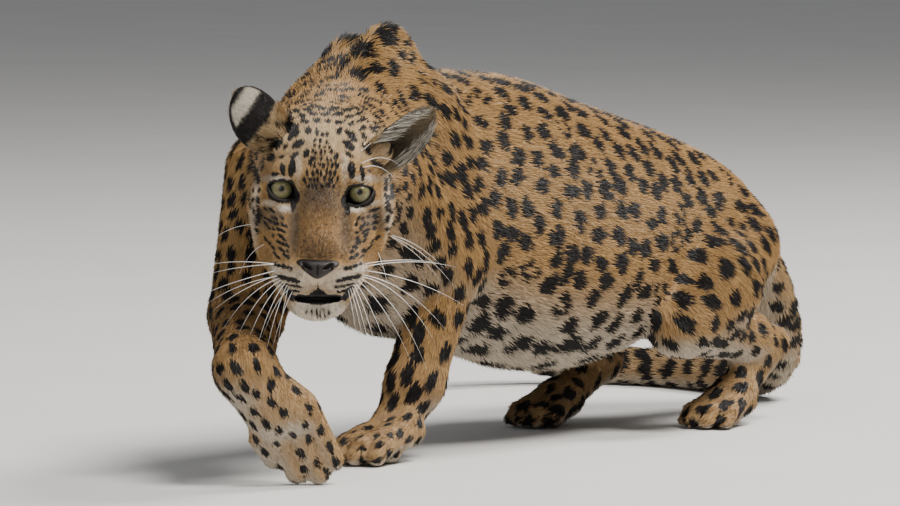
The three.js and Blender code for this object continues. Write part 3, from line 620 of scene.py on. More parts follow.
def places(mesh):
    co = np.empty(len(mesh.vertices) * 3, np.float32)
    mesh.vertices.foreach_get("co", co)
    return co.reshape(-1, 3).astype(float)


def put(mesh, points):
    mesh.vertices.foreach_set("co", np.asarray(points, np.float32).ravel())
    mesh.update()


# Lids and mouth, as outlines in the plane that faces the camera, in mm across and up

LID_OUTLINE = [(-15.2, 3.6), (-11.5, 7.4), (-5, 8.9), (3, 9.0), (9.5, 7.4), (13.4, 3.2), (15.4, -4),
               (15.6, -11.6), (12.4, -10.4), (7, -12.2), (0, -12.4), (-6.6, -9.6), (-11.8, -4.6)]
MOUTH_OUTLINE = [(-29, -116), (-22, -114.4), (-12, -114.8), (-3, -114.2), (7, -114.8), (16, -114.4),
                 (23, -116), (20, -121), (8, -122.6), (-3, -122.8), (-14, -122.6), (-25, -121.2)]


def closed_curve(points, steps):
    """A smooth closed line through the points."""
    pts = np.array(points, float)
    n = len(pts)
    return np.array([between([pts[(i + k) % n] for k in (-1, 0, 1, 2)], t)
                     for i in range(n) for t in np.arange(steps) / steps])


def outline_distance(xy, outline):
    """Distance to a closed outline, negative inside, and the nearest point on it."""
    a, b = outline, np.roll(outline, -1, 0)
    e = b - a
    q = xy[:, None] - a[None]
    t = np.clip((q * e).sum(2) / (e * e).sum(1), 0, 1)
    near = a[None] + t[..., None] * e
    d = np.linalg.norm(xy[:, None] - near, axis=2)
    k = d.argmin(1)
    rows = np.arange(len(xy))
    spans = (a[:, 1] > xy[:, None, 1]) != (b[:, 1] > xy[:, None, 1])
    rise = np.where(e[:, 1] == 0, 1e-9, e[:, 1])
    passes = xy[:, None, 0] < e[:, 0] * (xy[:, None, 1] - a[:, 1]) / rise + a[:, 0]
    inside = (spans & passes).sum(1) % 2 == 1
    return np.where(inside, -1, 1) * d[rows, k], near[rows, k]


def lid_outline(side):
    """Outline between the lids, from the eye's centre. The picture's left eye is side -1."""
    points = [(-x * side, y - 0.8 * side) for x, y in LID_OUTLINE]
    return closed_curve(points, 5)


def round_eyes(view, front, reach, behind=math.inf):
    """For each eye: side, centre, and its near points' rows, places, lid distances and lid edges."""
    for side, centre in zip((-1, 1), EYE_CENTRES):
        middle = in_view(centre[None])[0]
        rel = view - middle
        near = front & (np.hypot(rel[:, 0], rel[:, 1]) < reach) & (rel[:, 2] > -behind)
        rows = np.nonzero(near)[0]
        d, edge = outline_distance(rel[rows, :2], lid_outline(side))
        yield side, middle, rows, rel[rows], d, edge


MOUTH_LINE = closed_curve(MOUTH_OUTLINE, 4)
MOUTH_HEIGHT = -118.0
MOUTH_DEPTH = 15.0
SNAP = 0.75                # points this near the lids' edge are moved onto it
MOUTH_SNAP = 0.7
LID_BAND = 6.0             # width of skin round the lids that lies over the eye
FLOOR_GAP = 0.4


def over_ball(radius, xy):
    """How far in front of the eye's centre a ball of the radius lies, at places across and up from it."""
    return np.sqrt(np.maximum(radius**2 - (xy**2).sum(1), 0))


def carve_face(p):
    """Opens lids and mouth: points inside an outline go back, and those beside it move onto its edge."""
    q = in_view(p)
    ahead = in_head(p)[:, 2]
    for _, middle, rows, rel, d, edge in round_eyes(q, ahead > -12, 30, behind=6):
        xy = np.where((np.abs(d) < SNAP)[:, None], edge, rel[:, :2])
        lid = np.maximum(rel[:, 2], over_ball(EYE_RADIUS + LID_THICKNESS * 0.8, xy))
        z = np.where((d > -SNAP) & (d < LID_BAND), lid, rel[:, 2])
        z = np.where(d < -SNAP, np.minimum(z, over_ball(EYE_RADIUS - 2.5, xy)), z)
        q[rows, :2] = xy + middle[:2]
        q[rows, 2] = z + middle[2]
    rows = np.nonzero((ahead > 20) & (np.abs(q[:, 0]) < 40) & (np.abs(q[:, 1] - MOUTH_HEIGHT) < 18))[0]
    d, edge = outline_distance(q[rows, :2], MOUTH_LINE)
    q[rows, :2] = np.where((np.abs(d) < MOUTH_SNAP)[:, None], edge, q[rows, :2])
    q[rows, 2] -= MOUTH_DEPTH * smoothstep(-MOUTH_SNAP, -2.2, d)
    return HEAD_ORIGIN + q @ VIEW


def skin_mesh():
    points, faces = polygons(skin_grid(), SKIN_LOW, VOXEL)
    mesh = bpy.data.meshes.new("skin")
    mesh.from_pydata(points, [], faces)
    mesh.update()
    p = places(mesh)
    put(mesh, settle(p, coat_depth(p, region_weights(p)), 1))
    finer(mesh, HEAD_WINDOW)
    finer(mesh, FACE_WINDOW)
    p = places(mesh)
    p = settle(p, coat_depth(p, region_weights(p)), 2)
    p[:, 2] = np.maximum(p[:, 2], FLOOR_GAP)
    put(mesh, carve_face(p))
    return mesh


# Markings: spots are ellipses on the skin with a wavering edge

# Spots in the viewing plane: across, up, half length, half width, and tilt from upright in degrees
# Forehead: ovals that lean out from the middle line, and bars over the eyes
FOREHEAD_SPOTS = [
    (-56.5, 76.2, 6.0, 3.8, -5), (-46.5, 75.2, 6.4, 3.0, 40), (-32.3, 69.6, 7.6, 3.0, 65),
    (-30.4, 62.0, 6.6, 4.5, 45), (-14.4, 66.3, 4.2, 3.8, 90), (-4.9, 64.8, 2.3, 2.3, 0),
    (-63.5, 57.3, 2.6, 2.3, 0), (-59.7, 45.0, 3.4, 1.7, 20), (-53.5, 55.9, 2.6, 2.1, 20),
    (-46.5, 51.6, 5.7, 3.8, 40), (-38.9, 47.8, 3.4, 1.9, 45), (-24.8, 50.7, 7.2, 3.6, 60),
    (-54.1, 36.9, 4.9, 3.2, 30), (-42.7, 36.9, 3.8, 1.5, 60), (-28.5, 38.4, 4.2, 2.3, 65),
    (-15.3, 40.3, 3.8, 3.0, 10), (-63.5, 32.7, 3.0, 1.5, 20), (-64.4, 25.5, 3.4, 1.7, 25),
    (-41.2, 23.2, 6.4, 2.5, -12), (-31.0, 25.1, 9.4, 3.2, 5), (-49.7, 17.6, 3.8, 2.3, 75),
    (-9.6, 32.7, 5.3, 1.9, 35), (-70.5, 13.8, 3.8, 1.7, 20), (-73.3, 21.4, 3.8, 1.7, 5),
    (20.0, 65.2, 3.8, 3.0, 0), (32.9, 60.1, 8.5, 3.4, -40), (46.1, 60.1, 4.2, 2.6, -35),
    (30.1, 49.7, 7.9, 3.4, -45), (49.0, 45.9, 7.6, 2.6, -40), (31.0, 39.3, 4.9, 2.1, -55),
    (16.8, 37.4, 3.4, 2.6, 0), (17.4, 28.0, 3.4, 2.6, -10), (33.5, 22.3, 9.1, 3.4, -4),
    (45.2, 19.5, 7.2, 2.5, -10), (57.5, 30.8, 4.9, 2.6, -35), (62.6, 28.5, 4.5, 1.9, -20),
    (52.7, 21.4, 2.6, 1.3, -60), (69.7, 8.1, 5.7, 2.1, -10), (76.4, -3.2, 6.0, 1.9, -5),
    (55.6, 67.7, 4.9, 2.3, -70),
]
PAD_MIDDLE = -2.5          # the middle line of the muzzle, across from midway between the eyes

# Rows of small spots on the whisker pads: count, outer end, inner end, sizes and jitter
PAD_ROWS = (
    (6, (47, -80), (27, -85), (1.9, 2.0), 0.5),
    (10, (45, -92.5), (21, -98.5), (1.9, 2.6), 0.3),
    (8, (41, -101), (18, -105), (1.3, 1.9), 0.3),
    (6, (36, -107.5), (20, -110.5), (1.2, 1.6), 0.3),
)


def face_spots():
    """Spots of the face, as rows that follow its forms."""
    rng = np.random.default_rng(SEED + 1)
    spots = []

    def row(count, start, end, size, bow=0.0, tilt=(0, 0), jitter=0.7):
        for i in range(count):
            t = (i + 0.5) / count
            a = start[0] + (end[0] - start[0]) * t
            b = start[1] + (end[1] - start[1]) * t + bow * 4 * t * (1 - t)
            j = rng.normal(0, jitter, 2)
            k = rng.uniform(0.8, 1.2, 2)
            lean = tilt[0] + (tilt[1] - tilt[0]) * t
            spots.append((a + j[0], b + j[1], size[0] * k[0], size[1] * k[1], lean))
    # crown: bars across, in arcs
    row(6, (-36, 86), (48, 84), (2.1, 5.4), bow=6, tilt=(12, -14), jitter=0.5)
    row(7, (-42, 77), (50, 76), (2.2, 5.0), bow=8, tilt=(16, -18), jitter=0.5)
    row(8, (-50, 67), (52, 67), (2.2, 4.6), bow=10, tilt=(22, -24), jitter=0.5)
    spots += FOREHEAD_SPOTS
    # small dots down the middle of the forehead, getting closer towards the nose
    for b, half, count, size in ((62, 9, 3, (2.0, 1.7)), (55, 10, 3, (2.1, 1.7)), (48, 11, 4, (2.1, 1.6)),
                                 (42, 13, 5, (2.2, 1.6)), (35, 13, 5, (2.3, 1.5)), (28, 14, 6, (2.6, 1.5)),
                                 (20, 17, 7, (3.4, 1.5)), (12, 20, 8, (3.0, 1.5)), (4.5, 16, 7, (2.8, 1.7))):
        row(count, (1 - half, b), (1 + half, b), size, tilt=(-12, 12), jitter=0.8)
    # sides of the face: rows down its outline
    row(6, (-70, 27), (-66, -36), (3.7, 1.9), tilt=(6, -14))
    row(5, (-76, 4), (-66, -50), (3.4, 1.5), tilt=(0, -28))
    row(5, (-61, -50), (-44, -76), (3.0, 1.3), tilt=(-34, -48))
    row(6, (69, 16), (73, -38), (3.7, 2.1), tilt=(-8, 8))
    row(5, (76, 8), (67, -48), (3.4, 1.7), tilt=(0, 26))
    row(5, (61, -48), (44, -74), (3.0, 1.3), tilt=(34, 50))
    # cheeks: small dots under the pale patch
    for b, start, end, count in ((-20, 62, 50, 3), (-27, 64, 40, 5), (-34, 62, 36, 6), (-41, 58, 36, 5),
                                 (-48, 54, 36, 4), (-55, 50, 34, 4), (-62, 46, 32, 3), (-69, 42, 32, 3)):
        row(count, (-start, b), (-end, b - 5), (2.3, 1.4), tilt=(-40, -40), jitter=1.2)
        row(count, (end, b - 5), (start, b), (2.4, 1.6), tilt=(40, 40), jitter=1.2)
    # whisker pads: dark rows along the roots of the whiskers
    for side in (-1, 1):
        for count, outer, inner, size, jitter in PAD_ROWS:
            ends = [(PAD_MIDDLE + side * a, b) for a, b in (outer, inner)]
            row(count, *ends, size, tilt=(0, 0), jitter=jitter)
    # chin: dark streaks down its middle
    row(6, (-15, -130.5), (9, -130.5), (1.9, 0.7), tilt=(16, -16), jitter=1.0)
    row(4, (-10, -135), (5, -135), (1.6, 0.6), tilt=(14, -14), jitter=1.2)
    return spots


class Spots:
    """The spots of the whole animal, each with its place, axes, size and two phases of its wavering edge."""

    def __init__(self):
        self.rows = []

    def add(self, place, lie, out, long, wide, waver=0.1):
        self.rows.append((*place, *lie, *out, long, wide, waver))

    def table(self, rng):
        rows = np.array(self.rows, float)
        return rows, rng.uniform(0, 2 * math.pi, (len(rows), 3))


SPACING_CELL = 50.0
NEIGHBOURS = [(a, b, c) for a in (-1, 0, 1) for b in (-1, 0, 1) for c in (-1, 0, 1)]
TAIL_BANDS_FROM = 960.0    # the tail's spots turn to bands beyond this y


def spaced(p, spacing, free):
    """Free points taken in turn, each kept only if it is far enough from those kept before."""
    kept = {}
    for i in np.nonzero(free)[0]:
        x, y, z = (p[i] // SPACING_CELL).astype(int)
        around = (j for a, b, c in NEIGHBOURS for j in kept.get((x + a, y + b, z + c), ()))
        if any(np.dot(p[i] - p[j], p[i] - p[j]) < (0.5 * (spacing[i] + spacing[j])) ** 2 for j in around):
            continue
        kept.setdefault((x, y, z), []).append(i)
    return sorted(i for group in kept.values() for i in group)


def add_rosette(spots, rng, place, lie, out, long, wide):
    """A ring of three or four small spots, some with a gap."""
    side = np.cross(out, lie)
    count = rng.integers(3, 5)
    gap = rng.choice([0.0, 0.0, 0.7])
    start = rng.uniform(0, 2 * math.pi)
    for k in range(count):
        turn = start + 2 * math.pi * k / (count + gap) + rng.normal(0, 0.1)
        offset = lie * math.cos(turn) * long * 0.82 + side * math.sin(turn) * wide * 0.86
        spin = side * math.cos(turn) - lie * math.sin(turn)
        spots.add(place + offset, spin, out, wide * 0.7, wide * 0.44, 0.14)


def scatter_spots(roots, rng, spots):
    """Sets spots over the body, spaced as each region asks, and joins some into rosettes."""
    p, out, lie, weights, under, face = (roots[k] for k in ("p", "out", "lie", "weights", "under", "face"))
    long_of, wide_of = each("long"), each("wide")
    ringed = rng.uniform(0, 1, len(p)) < weights @ each("ringed") * (1 - under)
    spacing = weights @ each("spacing") * (1 + 0.6 * under) * np.where(ringed, 1.38, 1.0)
    spacing *= rng.uniform(0.9, 1.08, len(p))
    crosswise = (share(weights, "neck", "head") > 0.5) & (out[:, 2] > 0.35)
    banded = (share(weights, "tail") > 0.5) & (p[:, 1] > TAIL_BANDS_FROM)
    for i in spaced(p, spacing, ~face):
        w = weights[i]
        if crosswise[i]:
            lie[i] = np.cross(out[i], lie[i])
        if banded[i]:
            lie[i] = np.cross(out[i], lie[i])
            w = w * 1.25
        long, wide = w @ long_of * rng.uniform(0.8, 1.15), w @ wide_of * rng.uniform(0.8, 1.15)
        if ringed[i]:
            add_rosette(spots, rng, p[i], lie[i], out[i], long, wide)
        else:
            grow = 1 + 0.35 * under[i]
            spots.add(p[i], lie[i], out[i], long * grow, wide * grow, 0.12)


NO_SPOT = 14.0             # distance given where no spot is near
SPOT_CELL = 16.0
SPOT_DEPTH = 16.0          # a spot marks no skin farther than this before or behind its own plane


def spot_distance(p, table, phases):
    """Distance from each point to the nearest spot's edge, negative inside."""
    keys = np.floor(p / SPOT_CELL).astype(np.int64)
    low = keys.min(0) - 2
    keys -= low
    span = keys.max(0) + 3
    code = (keys[:, 0] * span[1] + keys[:, 1]) * span[2] + keys[:, 2]
    order = np.argsort(code, kind="stable")
    code = code[order]
    best = np.full(len(p), NO_SPOT)
    for row, phase in zip(table, phases):
        c, lie, out, long, wide, waver = row[:3], row[3:6], row[6:9], row[9], row[10], row[11]
        reach = long + 5
        k0 = np.floor((c - reach) / SPOT_CELL).astype(int) - low
        k1 = np.floor((c + reach) / SPOT_CELL).astype(int) - low
        if (k1 < 0).any() or (k0 >= span - 1).any():
            continue
        k0, k1 = np.maximum(k0, 0), np.minimum(k1, span - 1)
        found = []
        for x in range(k0[0], k1[0] + 1):
            for y in range(k0[1], k1[1] + 1):
                base = (x * span[1] + y) * span[2]
                a, b = np.searchsorted(code, [base + k0[2], base + k1[2] + 1])
                if b > a:
                    found.append(order[a:b])
        if not found:
            continue
        rows = np.concatenate(found)
        q = p[rows] - c
        side = np.cross(out, lie)
        x, y, z = q @ lie, q @ side, q @ out
        r = np.hypot(x / long, y / wide)
        turn = np.arctan2(y / wide, x / long)
        edge = 1 + waver * (np.sin(2 * turn + phase[0]) + 0.7 * np.sin(3 * turn + phase[1])
                            + 0.5 * np.sin(5 * turn + phase[2]))
        d = (r - edge) * 0.5 * (long + wide)
        d = np.where(np.abs(z) > SPOT_DEPTH, NO_SPOT, d)
        best[rows] = np.minimum(best[rows], d)
    return best


# Colours of the coat, as linear red, green and blue

GOLD = np.array([0.305, 0.178, 0.066])
DEEP_GOLD = np.array([0.205, 0.108, 0.036])
PALE = np.array([0.43, 0.325, 0.195])
WHITE = np.array([0.66, 0.60, 0.50])
BLACK = np.array([0.0055, 0.0042, 0.0038])
GREY_BROWN = np.array([0.05, 0.036, 0.025])


def blob(q, centre, half, soft=0.5):
    """1 inside an ellipse of the viewing plane, falling to 0 outside it."""
    r = np.hypot((q[:, 0] - centre[0]) / half[0], (q[:, 1] - centre[1]) / half[1])
    return smoothstep(1 + soft, 1 - soft, r)


def ground_colour(p, out, weights):
    """Colour of the coat between its spots."""
    q, v = in_head(p), in_view(p)
    head_share = share(weights, "head")
    tail_share = share(weights, "tail")
    fore_share = share(weights, "neck", "shoulder_left", "shoulder_right")
    down = smoothstep(-0.15, -0.75, out[:, 2]) * (1 - head_share) * (1 - 0.65 * fore_share)
    chest = smoothstep(0.35, -0.2, out[:, 2]) * smoothstep(140, 20, p[:, 1])
    chest = chest * smoothstep(0.3, -0.5, out[:, 1]) * (1 - head_share) * 0.1
    inner = 0.08 * smoothstep(200, 60, p[:, 2]) * (1 - head_share)
    pale = np.clip(down * 0.95 + chest + inner, 0, 1)
    back = smoothstep(0.35, 0.95, out[:, 2]) * (1 - head_share)
    colour = GOLD + (DEEP_GOLD - GOLD) * (0.35 * back)[:, None]
    colour = colour + (WHITE * 0.72 - colour) * (pale * 0.75)[:, None]
    colour = colour + (PALE - colour) * (0.25 * tail_share)[:, None]
    front = head_share * smoothstep(-30, 0, q[:, 2])
    face = GOLD + (PALE - GOLD) * (0.75 * smoothstep(10, 60, v[:, 1]) * smoothstep(104, 76, v[:, 1]))[:, None]
    colour = colour + (face - colour) * head_share[:, None]
    grain = mottle(p, 3.0)

    def paint(mask, tint, strength):
        nonlocal colour
        colour = colour + (tint - colour) * (np.clip(mask * strength, 0, 1) * head_share)[:, None]
    # bridge of the nose: grey-brown between the eyes, deep gold below, greyer again above the nose
    paint(blob(v, (1, -12), (22, 24), 0.6) * front * (1 + 0.2 * grain), GREY_BROWN, 0.9)
    paint(blob(v, (-1, -52), (26, 34), 0.5) * front * (1 + 0.4 * grain), DEEP_GOLD * 0.9, 0.8)
    paint(blob(v, (-1, -66), (20, 17), 0.7) * front * (1 + 0.6 * grain), GREY_BROWN, 0.42)
    # on each side: over, under and beside the eye, then down the cheek to the whisker pad and the jaw
    for s in (-1, 1):
        paint(blob(v, (1 + s * 25.5, 26), (4.0, 13), 0.7) * front, WHITE, 0.4)
        paint(blob(v, (1 + s * 25, 2), (2.6, 18), 0.8) * front, PALE, 0.5)
        paint(blob(v, (s * 38, -20), (9, 3.8), 0.7), WHITE, 0.85)
        paint(blob(v, (s * 54, -14), (8, 3.4), 0.8), WHITE, 0.6)
        paint(blob(v, (s * 50, 13), (15, 3.6), 0.7), WHITE, 0.65)
        paint(blob(v, (s * 56, -30), (17, 12), 0.5) * (1 + 0.9 * mottle(p + 90, 3.2)), GREY_BROWN * 1.8, 0.6)
        paint(blob(v, (s * 28, -38), (6.5, 26), 0.6) * front, GREY_BROWN * 1.2, 0.75)
        paint(blob(v, (s * 34, -62), (10, 16), 0.6) * (1 + 0.6 * grain), GREY_BROWN * 1.6, 0.35)
        paint(blob(v, (-2.5 + s * 27, -99), (26, 15), 0.5), WHITE, 0.55)
        paint(blob(v, (-2.5 + s * 46, -84), (7, 5), 0.6), WHITE, 0.7)
        paint(blob(v, (s * 71, -20), (4.5, 48), 0.7), WHITE, 0.45)
    # chin, and the shade under the lip
    paint(blob(v, (-3, -132), (32, 17), 0.35), WHITE, 0.85)
    paint(blob(v, (-3, -128), (13, 5), 0.7) * front, GREY_BROWN * 1.6, 0.45)
    return colour


def black_skin_and_mouth_shade(p):
    """1 where the bare or black-haired skin round the eyes, lips and mouth is, else 0."""
    v, ahead = in_view(p), in_head(p)[:, 2]
    mask = np.zeros(len(p))

    def mark(rows, *shares):
        mask[rows] = np.maximum.reduce([mask[rows], *shares])
    for side, _, rows, rel, d, _ in round_eyes(v, ahead > -14, 40):
        x, y = -side * rel[:, 0], rel[:, 1]
        rim = 1.5 + 2.6 * smoothstep(2, -10, y) + 1.0 * smoothstep(6, 14, x)
        tear = np.abs(x - 14.2 - 0.06 * (y + 10)) - (4.6 + 0.16 * (y + 10))
        tear = np.where((y < -4) & (y > -25), tear, 9)
        corner = np.hypot((x + 17.5) / 4.0, (y - 5.0 + 0.1 * x) / 2.0)
        mark(rows, smoothstep(rim + 1.0, rim - 0.6, d), smoothstep(0.8, -0.8, tear),
             smoothstep(1.3, 0.8, corner))
    low = np.nonzero((ahead > 5) & (np.abs(v[:, 0] + 3) < 50) & (v[:, 1] < -100))[0]
    x, y = v[low, 0] - PAD_MIDDLE, v[low, 1]
    d, _ = outline_distance(v[low, :2], MOUTH_LINE)
    cleft = smoothstep(0.6, -0.6, np.abs(x) - np.clip((-105.0 - y) * 1.25, 0.9, 14)) * (y > -117) * (y < -99)
    corners = smoothstep(1.4, 0.7, np.hypot((np.abs(x) - 30 - 0.5 * (y + 116)) / 4.4, (y + 112) / 8.0))
    # the lips' black edge, and painted shade over the whole gap of the mouth behind it
    mark(low, smoothstep(1.7, 0.6, d), cleft, corners)
    return mask


# Materials

def material(name):
    made = bpy.data.materials.new(name)
    made.use_nodes = True
    tree = made.node_tree
    shader = tree.nodes["Principled BSDF"]
    return made, tree, shader


def node(tree, kind, **settings):
    made = tree.nodes.new(kind)
    for key, value in settings.items():
        setattr(made, key, value)
    return made


def grain_group():
    """Fine mottling shared by the skin, nose, lids and ears: a height and a shade."""
    group = bpy.data.node_groups.new("grain", "ShaderNodeTree")
    for name, way in (("Scale", "INPUT"), ("Height", "OUTPUT"), ("Shade", "OUTPUT")):
        group.interface.new_socket(name, in_out=way, socket_type="NodeSocketFloat")
    start, end = node(group, "NodeGroupInput"), node(group, "NodeGroupOutput")
    place = node(group, "ShaderNodeTexCoord")
    pores = node(group, "ShaderNodeTexVoronoi", feature="DISTANCE_TO_EDGE")
    noise = node(group, "ShaderNodeTexNoise")
    noise.inputs["Detail"].default_value = 4
    for texture in (pores, noise):
        group.links.new(place.outputs["Object"], texture.inputs["Vector"])
        group.links.new(start.outputs["Scale"], texture.inputs["Scale"])
    group.links.new(pores.outputs["Distance"], end.inputs["Height"])
    group.links.new(noise.outputs["Fac"], end.inputs["Shade"])
    return group


def grained(tree, scale):
    """The shared mottling, at a scale of its own."""
    texture = node(tree, "ShaderNodeGroup", node_tree=finishes()["grain"])
    texture.inputs["Scale"].default_value = scale
    return texture.outputs


def object_noise(tree, scale):
    """Plain noise fixed to the object."""
    place = node(tree, "ShaderNodeTexCoord")
    noise = node(tree, "ShaderNodeTexNoise")
    noise.inputs["Scale"].default_value = scale
    tree.links.new(place.outputs["Object"], noise.inputs["Vector"])
    return noise.outputs["Fac"]


def vertex_value(tree, name, output):
    return node(tree, "ShaderNodeAttribute", attribute_name=name).outputs[output]


def mapped(tree, value, **limits):
    """A value brought to other limits, given as from_min, to_max and so on."""
    made = node(tree, "ShaderNodeMapRange")
    for name, limit in limits.items():
        made.inputs[name.replace("_", " ").title()].default_value = limit
    tree.links.new(value, made.inputs["Value"])
    return made.outputs["Result"]


def scaled(tree, vector, factor):
    made = node(tree, "ShaderNodeVectorMath", operation="SCALE")
    tree.links.new(vector, made.inputs[0])
    tree.links.new(factor, made.inputs["Scale"])
    return made.outputs["Vector"]


def multiplied(tree, value, factor, offset):
    """A value times a fixed factor, plus the output of another node."""
    made = node(tree, "ShaderNodeMath", operation="MULTIPLY_ADD")
    made.inputs[1].default_value = factor
    tree.links.new(value, made.inputs[0])
    tree.links.new(offset, made.inputs[2])
    return made.outputs["Value"]


def blend_colours(tree, shader, way, dark, light):
    """Colours the surface between two tints, by the output of another node."""
    blend = node(tree, "ShaderNodeMix", data_type="RGBA")
    blend.inputs[6].default_value = (*dark, 1)
    blend.inputs[7].default_value = (*light, 1)
    tree.links.new(way, blend.inputs[0])
    tree.links.new(blend.outputs[2], shader.inputs["Base Color"])
    return blend


def set_gloss(shader, roughness, specular=None):
    shader.inputs["Roughness"].default_value = roughness
    if specular is not None:
        shader.inputs["Specular IOR Level"].default_value = specular


def add_bump(tree, shader, height, strength, distance):
    bump = node(tree, "ShaderNodeBump")
    bump.inputs["Strength"].default_value = strength
    bump.inputs["Distance"].default_value = distance
    tree.links.new(height, bump.inputs["Height"])
    tree.links.new(bump.outputs["Normal"], shader.inputs["Normal"])


def coat_finish():
    """Hair: its own colour, darker at the root and lighter at the tip."""
    made, tree, shader = material("leopard hair")
    shade = mapped(tree, vertex_value(tree, "along", "Fac"), to_min=0.72, to_max=1.12)
    colour = scaled(tree, vertex_value(tree, "tint", "Color"), shade)
    tree.links.new(colour, shader.inputs["Base Color"])
    set_gloss(shader, 0.55, 0.22)
    return made


def skin_finish():
    """Skin under the coat, with the same markings: tan or black by the distance to the spots' edges."""
    made, tree, shader = material("leopard skin")
    shade = grained(tree, 260)["Shade"]
    waver = multiplied(tree, shade, 1.6, vertex_value(tree, "mark", "Fac"))
    clear = mapped(tree, waver, from_min=0.2, from_max=1.4)
    blend = blend_colours(tree, shader, clear, BLACK, GOLD)
    tree.links.new(vertex_value(tree, "tint", "Color"), blend.inputs[7])
    set_gloss(shader, 0.7)
    add_bump(tree, shader, shade, 0.4, 0.0008)
    return made


def leather_finish(name, scale, dark, light, roughness, specular, strength, distance):
    """Bare black skin with fine pores, for the nose and the rims of the lids."""
    made, tree, shader = material(name)
    grain = grained(tree, scale)
    blend_colours(tree, shader, grain["Shade"], dark, light)
    set_gloss(shader, roughness, specular)
    add_bump(tree, shader, grain["Height"], strength, distance)
    return made


IRIS_RADIUS = 12.8

# From the pupil's middle to the white, as a share of the iris: place and colour
IRIS_COLOURS = [
    (0.0, (0.003, 0.003, 0.003)), (0.21, (0.003, 0.003, 0.003)), (0.245, (0.07, 0.055, 0.022)),
    (0.36, (0.125, 0.105, 0.042)), (0.62, (0.165, 0.155, 0.07)), (0.8, (0.12, 0.115, 0.055)),
    (0.91, (0.035, 0.032, 0.02)), (0.97, (0.006, 0.005, 0.005)),
]


def eye_finish():
    """Eye: pale iris with fine rays, dark outer ring and small pupil, under a wet coat."""
    made, tree, shader = material("leopard eye")
    place = node(tree, "ShaderNodeUVMap", uv_map="iris")
    split = node(tree, "ShaderNodeSeparateXYZ")
    stretch = node(tree, "ShaderNodeVectorMath", operation="MULTIPLY")
    stretch.inputs[1].default_value = (60, 3, 1)
    rays = node(tree, "ShaderNodeTexNoise")
    rays.inputs["Scale"].default_value = 1.0
    rays.inputs["Detail"].default_value = 5
    ramp = node(tree, "ShaderNodeValToRGB")
    stops = ramp.color_ramp.elements
    while len(stops) < len(IRIS_COLOURS):
        stops.new(0.5)
    for stop, (at, colour) in zip(stops, IRIS_COLOURS):
        stop.position = at
        stop.color = (*colour, 1)
    tree.links.new(place.outputs["UV"], split.inputs[0])
    tree.links.new(place.outputs["UV"], stretch.inputs[0])
    tree.links.new(stretch.outputs["Vector"], rays.inputs["Vector"])
    wavering = multiplied(tree, rays.outputs["Fac"], 0.10, split.outputs["Y"])
    offset = node(tree, "ShaderNodeMath", operation="ADD")
    offset.inputs[1].default_value = -0.05
    tree.links.new(wavering, offset.inputs[0])
    tree.links.new(offset.outputs["Value"], ramp.inputs["Fac"])
    streak = mapped(tree, rays.outputs["Fac"], from_min=0.3, from_max=0.7, to_min=0.7, to_max=1.25)
    tree.links.new(scaled(tree, ramp.outputs["Color"], streak), shader.inputs["Base Color"])
    set_gloss(shader, 0.35, 0.2)
    shader.inputs["Coat Weight"].default_value = 0.5
    shader.inputs["Coat Roughness"].default_value = 0.03
    return made


def whisker_finish():
    made, tree, shader = material("whisker")
    blend_colours(tree, shader, object_noise(tree, 90), (0.82, 0.79, 0.73), (0.92, 0.91, 0.88))
    set_gloss(shader, 0.35)
    return made


FINISH = {}


def finishes():
    """The materials, made once."""
    if not FINISH:
        FINISH["grain"] = grain_group()
        FINISH["coat"] = coat_finish()
        FINISH["skin"] = skin_finish()
        FINISH["nose"] = leather_finish("nose leather", 900, (0.007, 0.0055, 0.0055), (0.022, 0.015, 0.014),
                                        0.5, 0.35, 0.5, 0.0004)
        FINISH["rim"] = leather_finish("lid rim", 700, (0.010, 0.008, 0.008), (0.028, 0.02, 0.018),
                                       0.55, 0.3, 0.3, 0.0003)
        FINISH["eye"] = eye_finish()
        FINISH["whisker"] = whisker_finish()
    return FINISH


# Making objects

def add_object(name, mesh, finish):
    obj = bpy.data.objects.new(name, mesh)
    bpy.context.scene.collection.objects.link(obj)
    if finish and not mesh.materials:
        mesh.materials.append(finish)
    return obj


def set_attribute(mesh, name, kind, values):
    attribute = mesh.attributes.new(name, kind, "POINT")
    key = {"FLOAT": "value", "FLOAT_VECTOR": "vector", "FLOAT_COLOR": "color"}[kind]
    attribute.data.foreach_set(key, np.asarray(values, np.float32).ravel())


def vertex_normals(mesh):
    out = np.empty(len(mesh.vertices) * 3, np.float32)
    mesh.vertices.foreach_get("normal", out)
    return out.reshape(-1, 3).astype(float)


def triangle_rows(mesh):
    mesh.calc_loop_triangles()
    rows = np.empty(len(mesh.loop_triangles) * 3, np.int32)
    mesh.loop_triangles.foreach_get("vertices", rows)
    return rows.reshape(-1, 3)


def opaque(colours):
    """Colours with a full fourth value, as the colour attributes hold them."""
    return np.hstack([colours, np.ones((len(colours), 1))])


FACE_SPOT_GROWTH = 1.16
SPOT_TRIALS = 60000


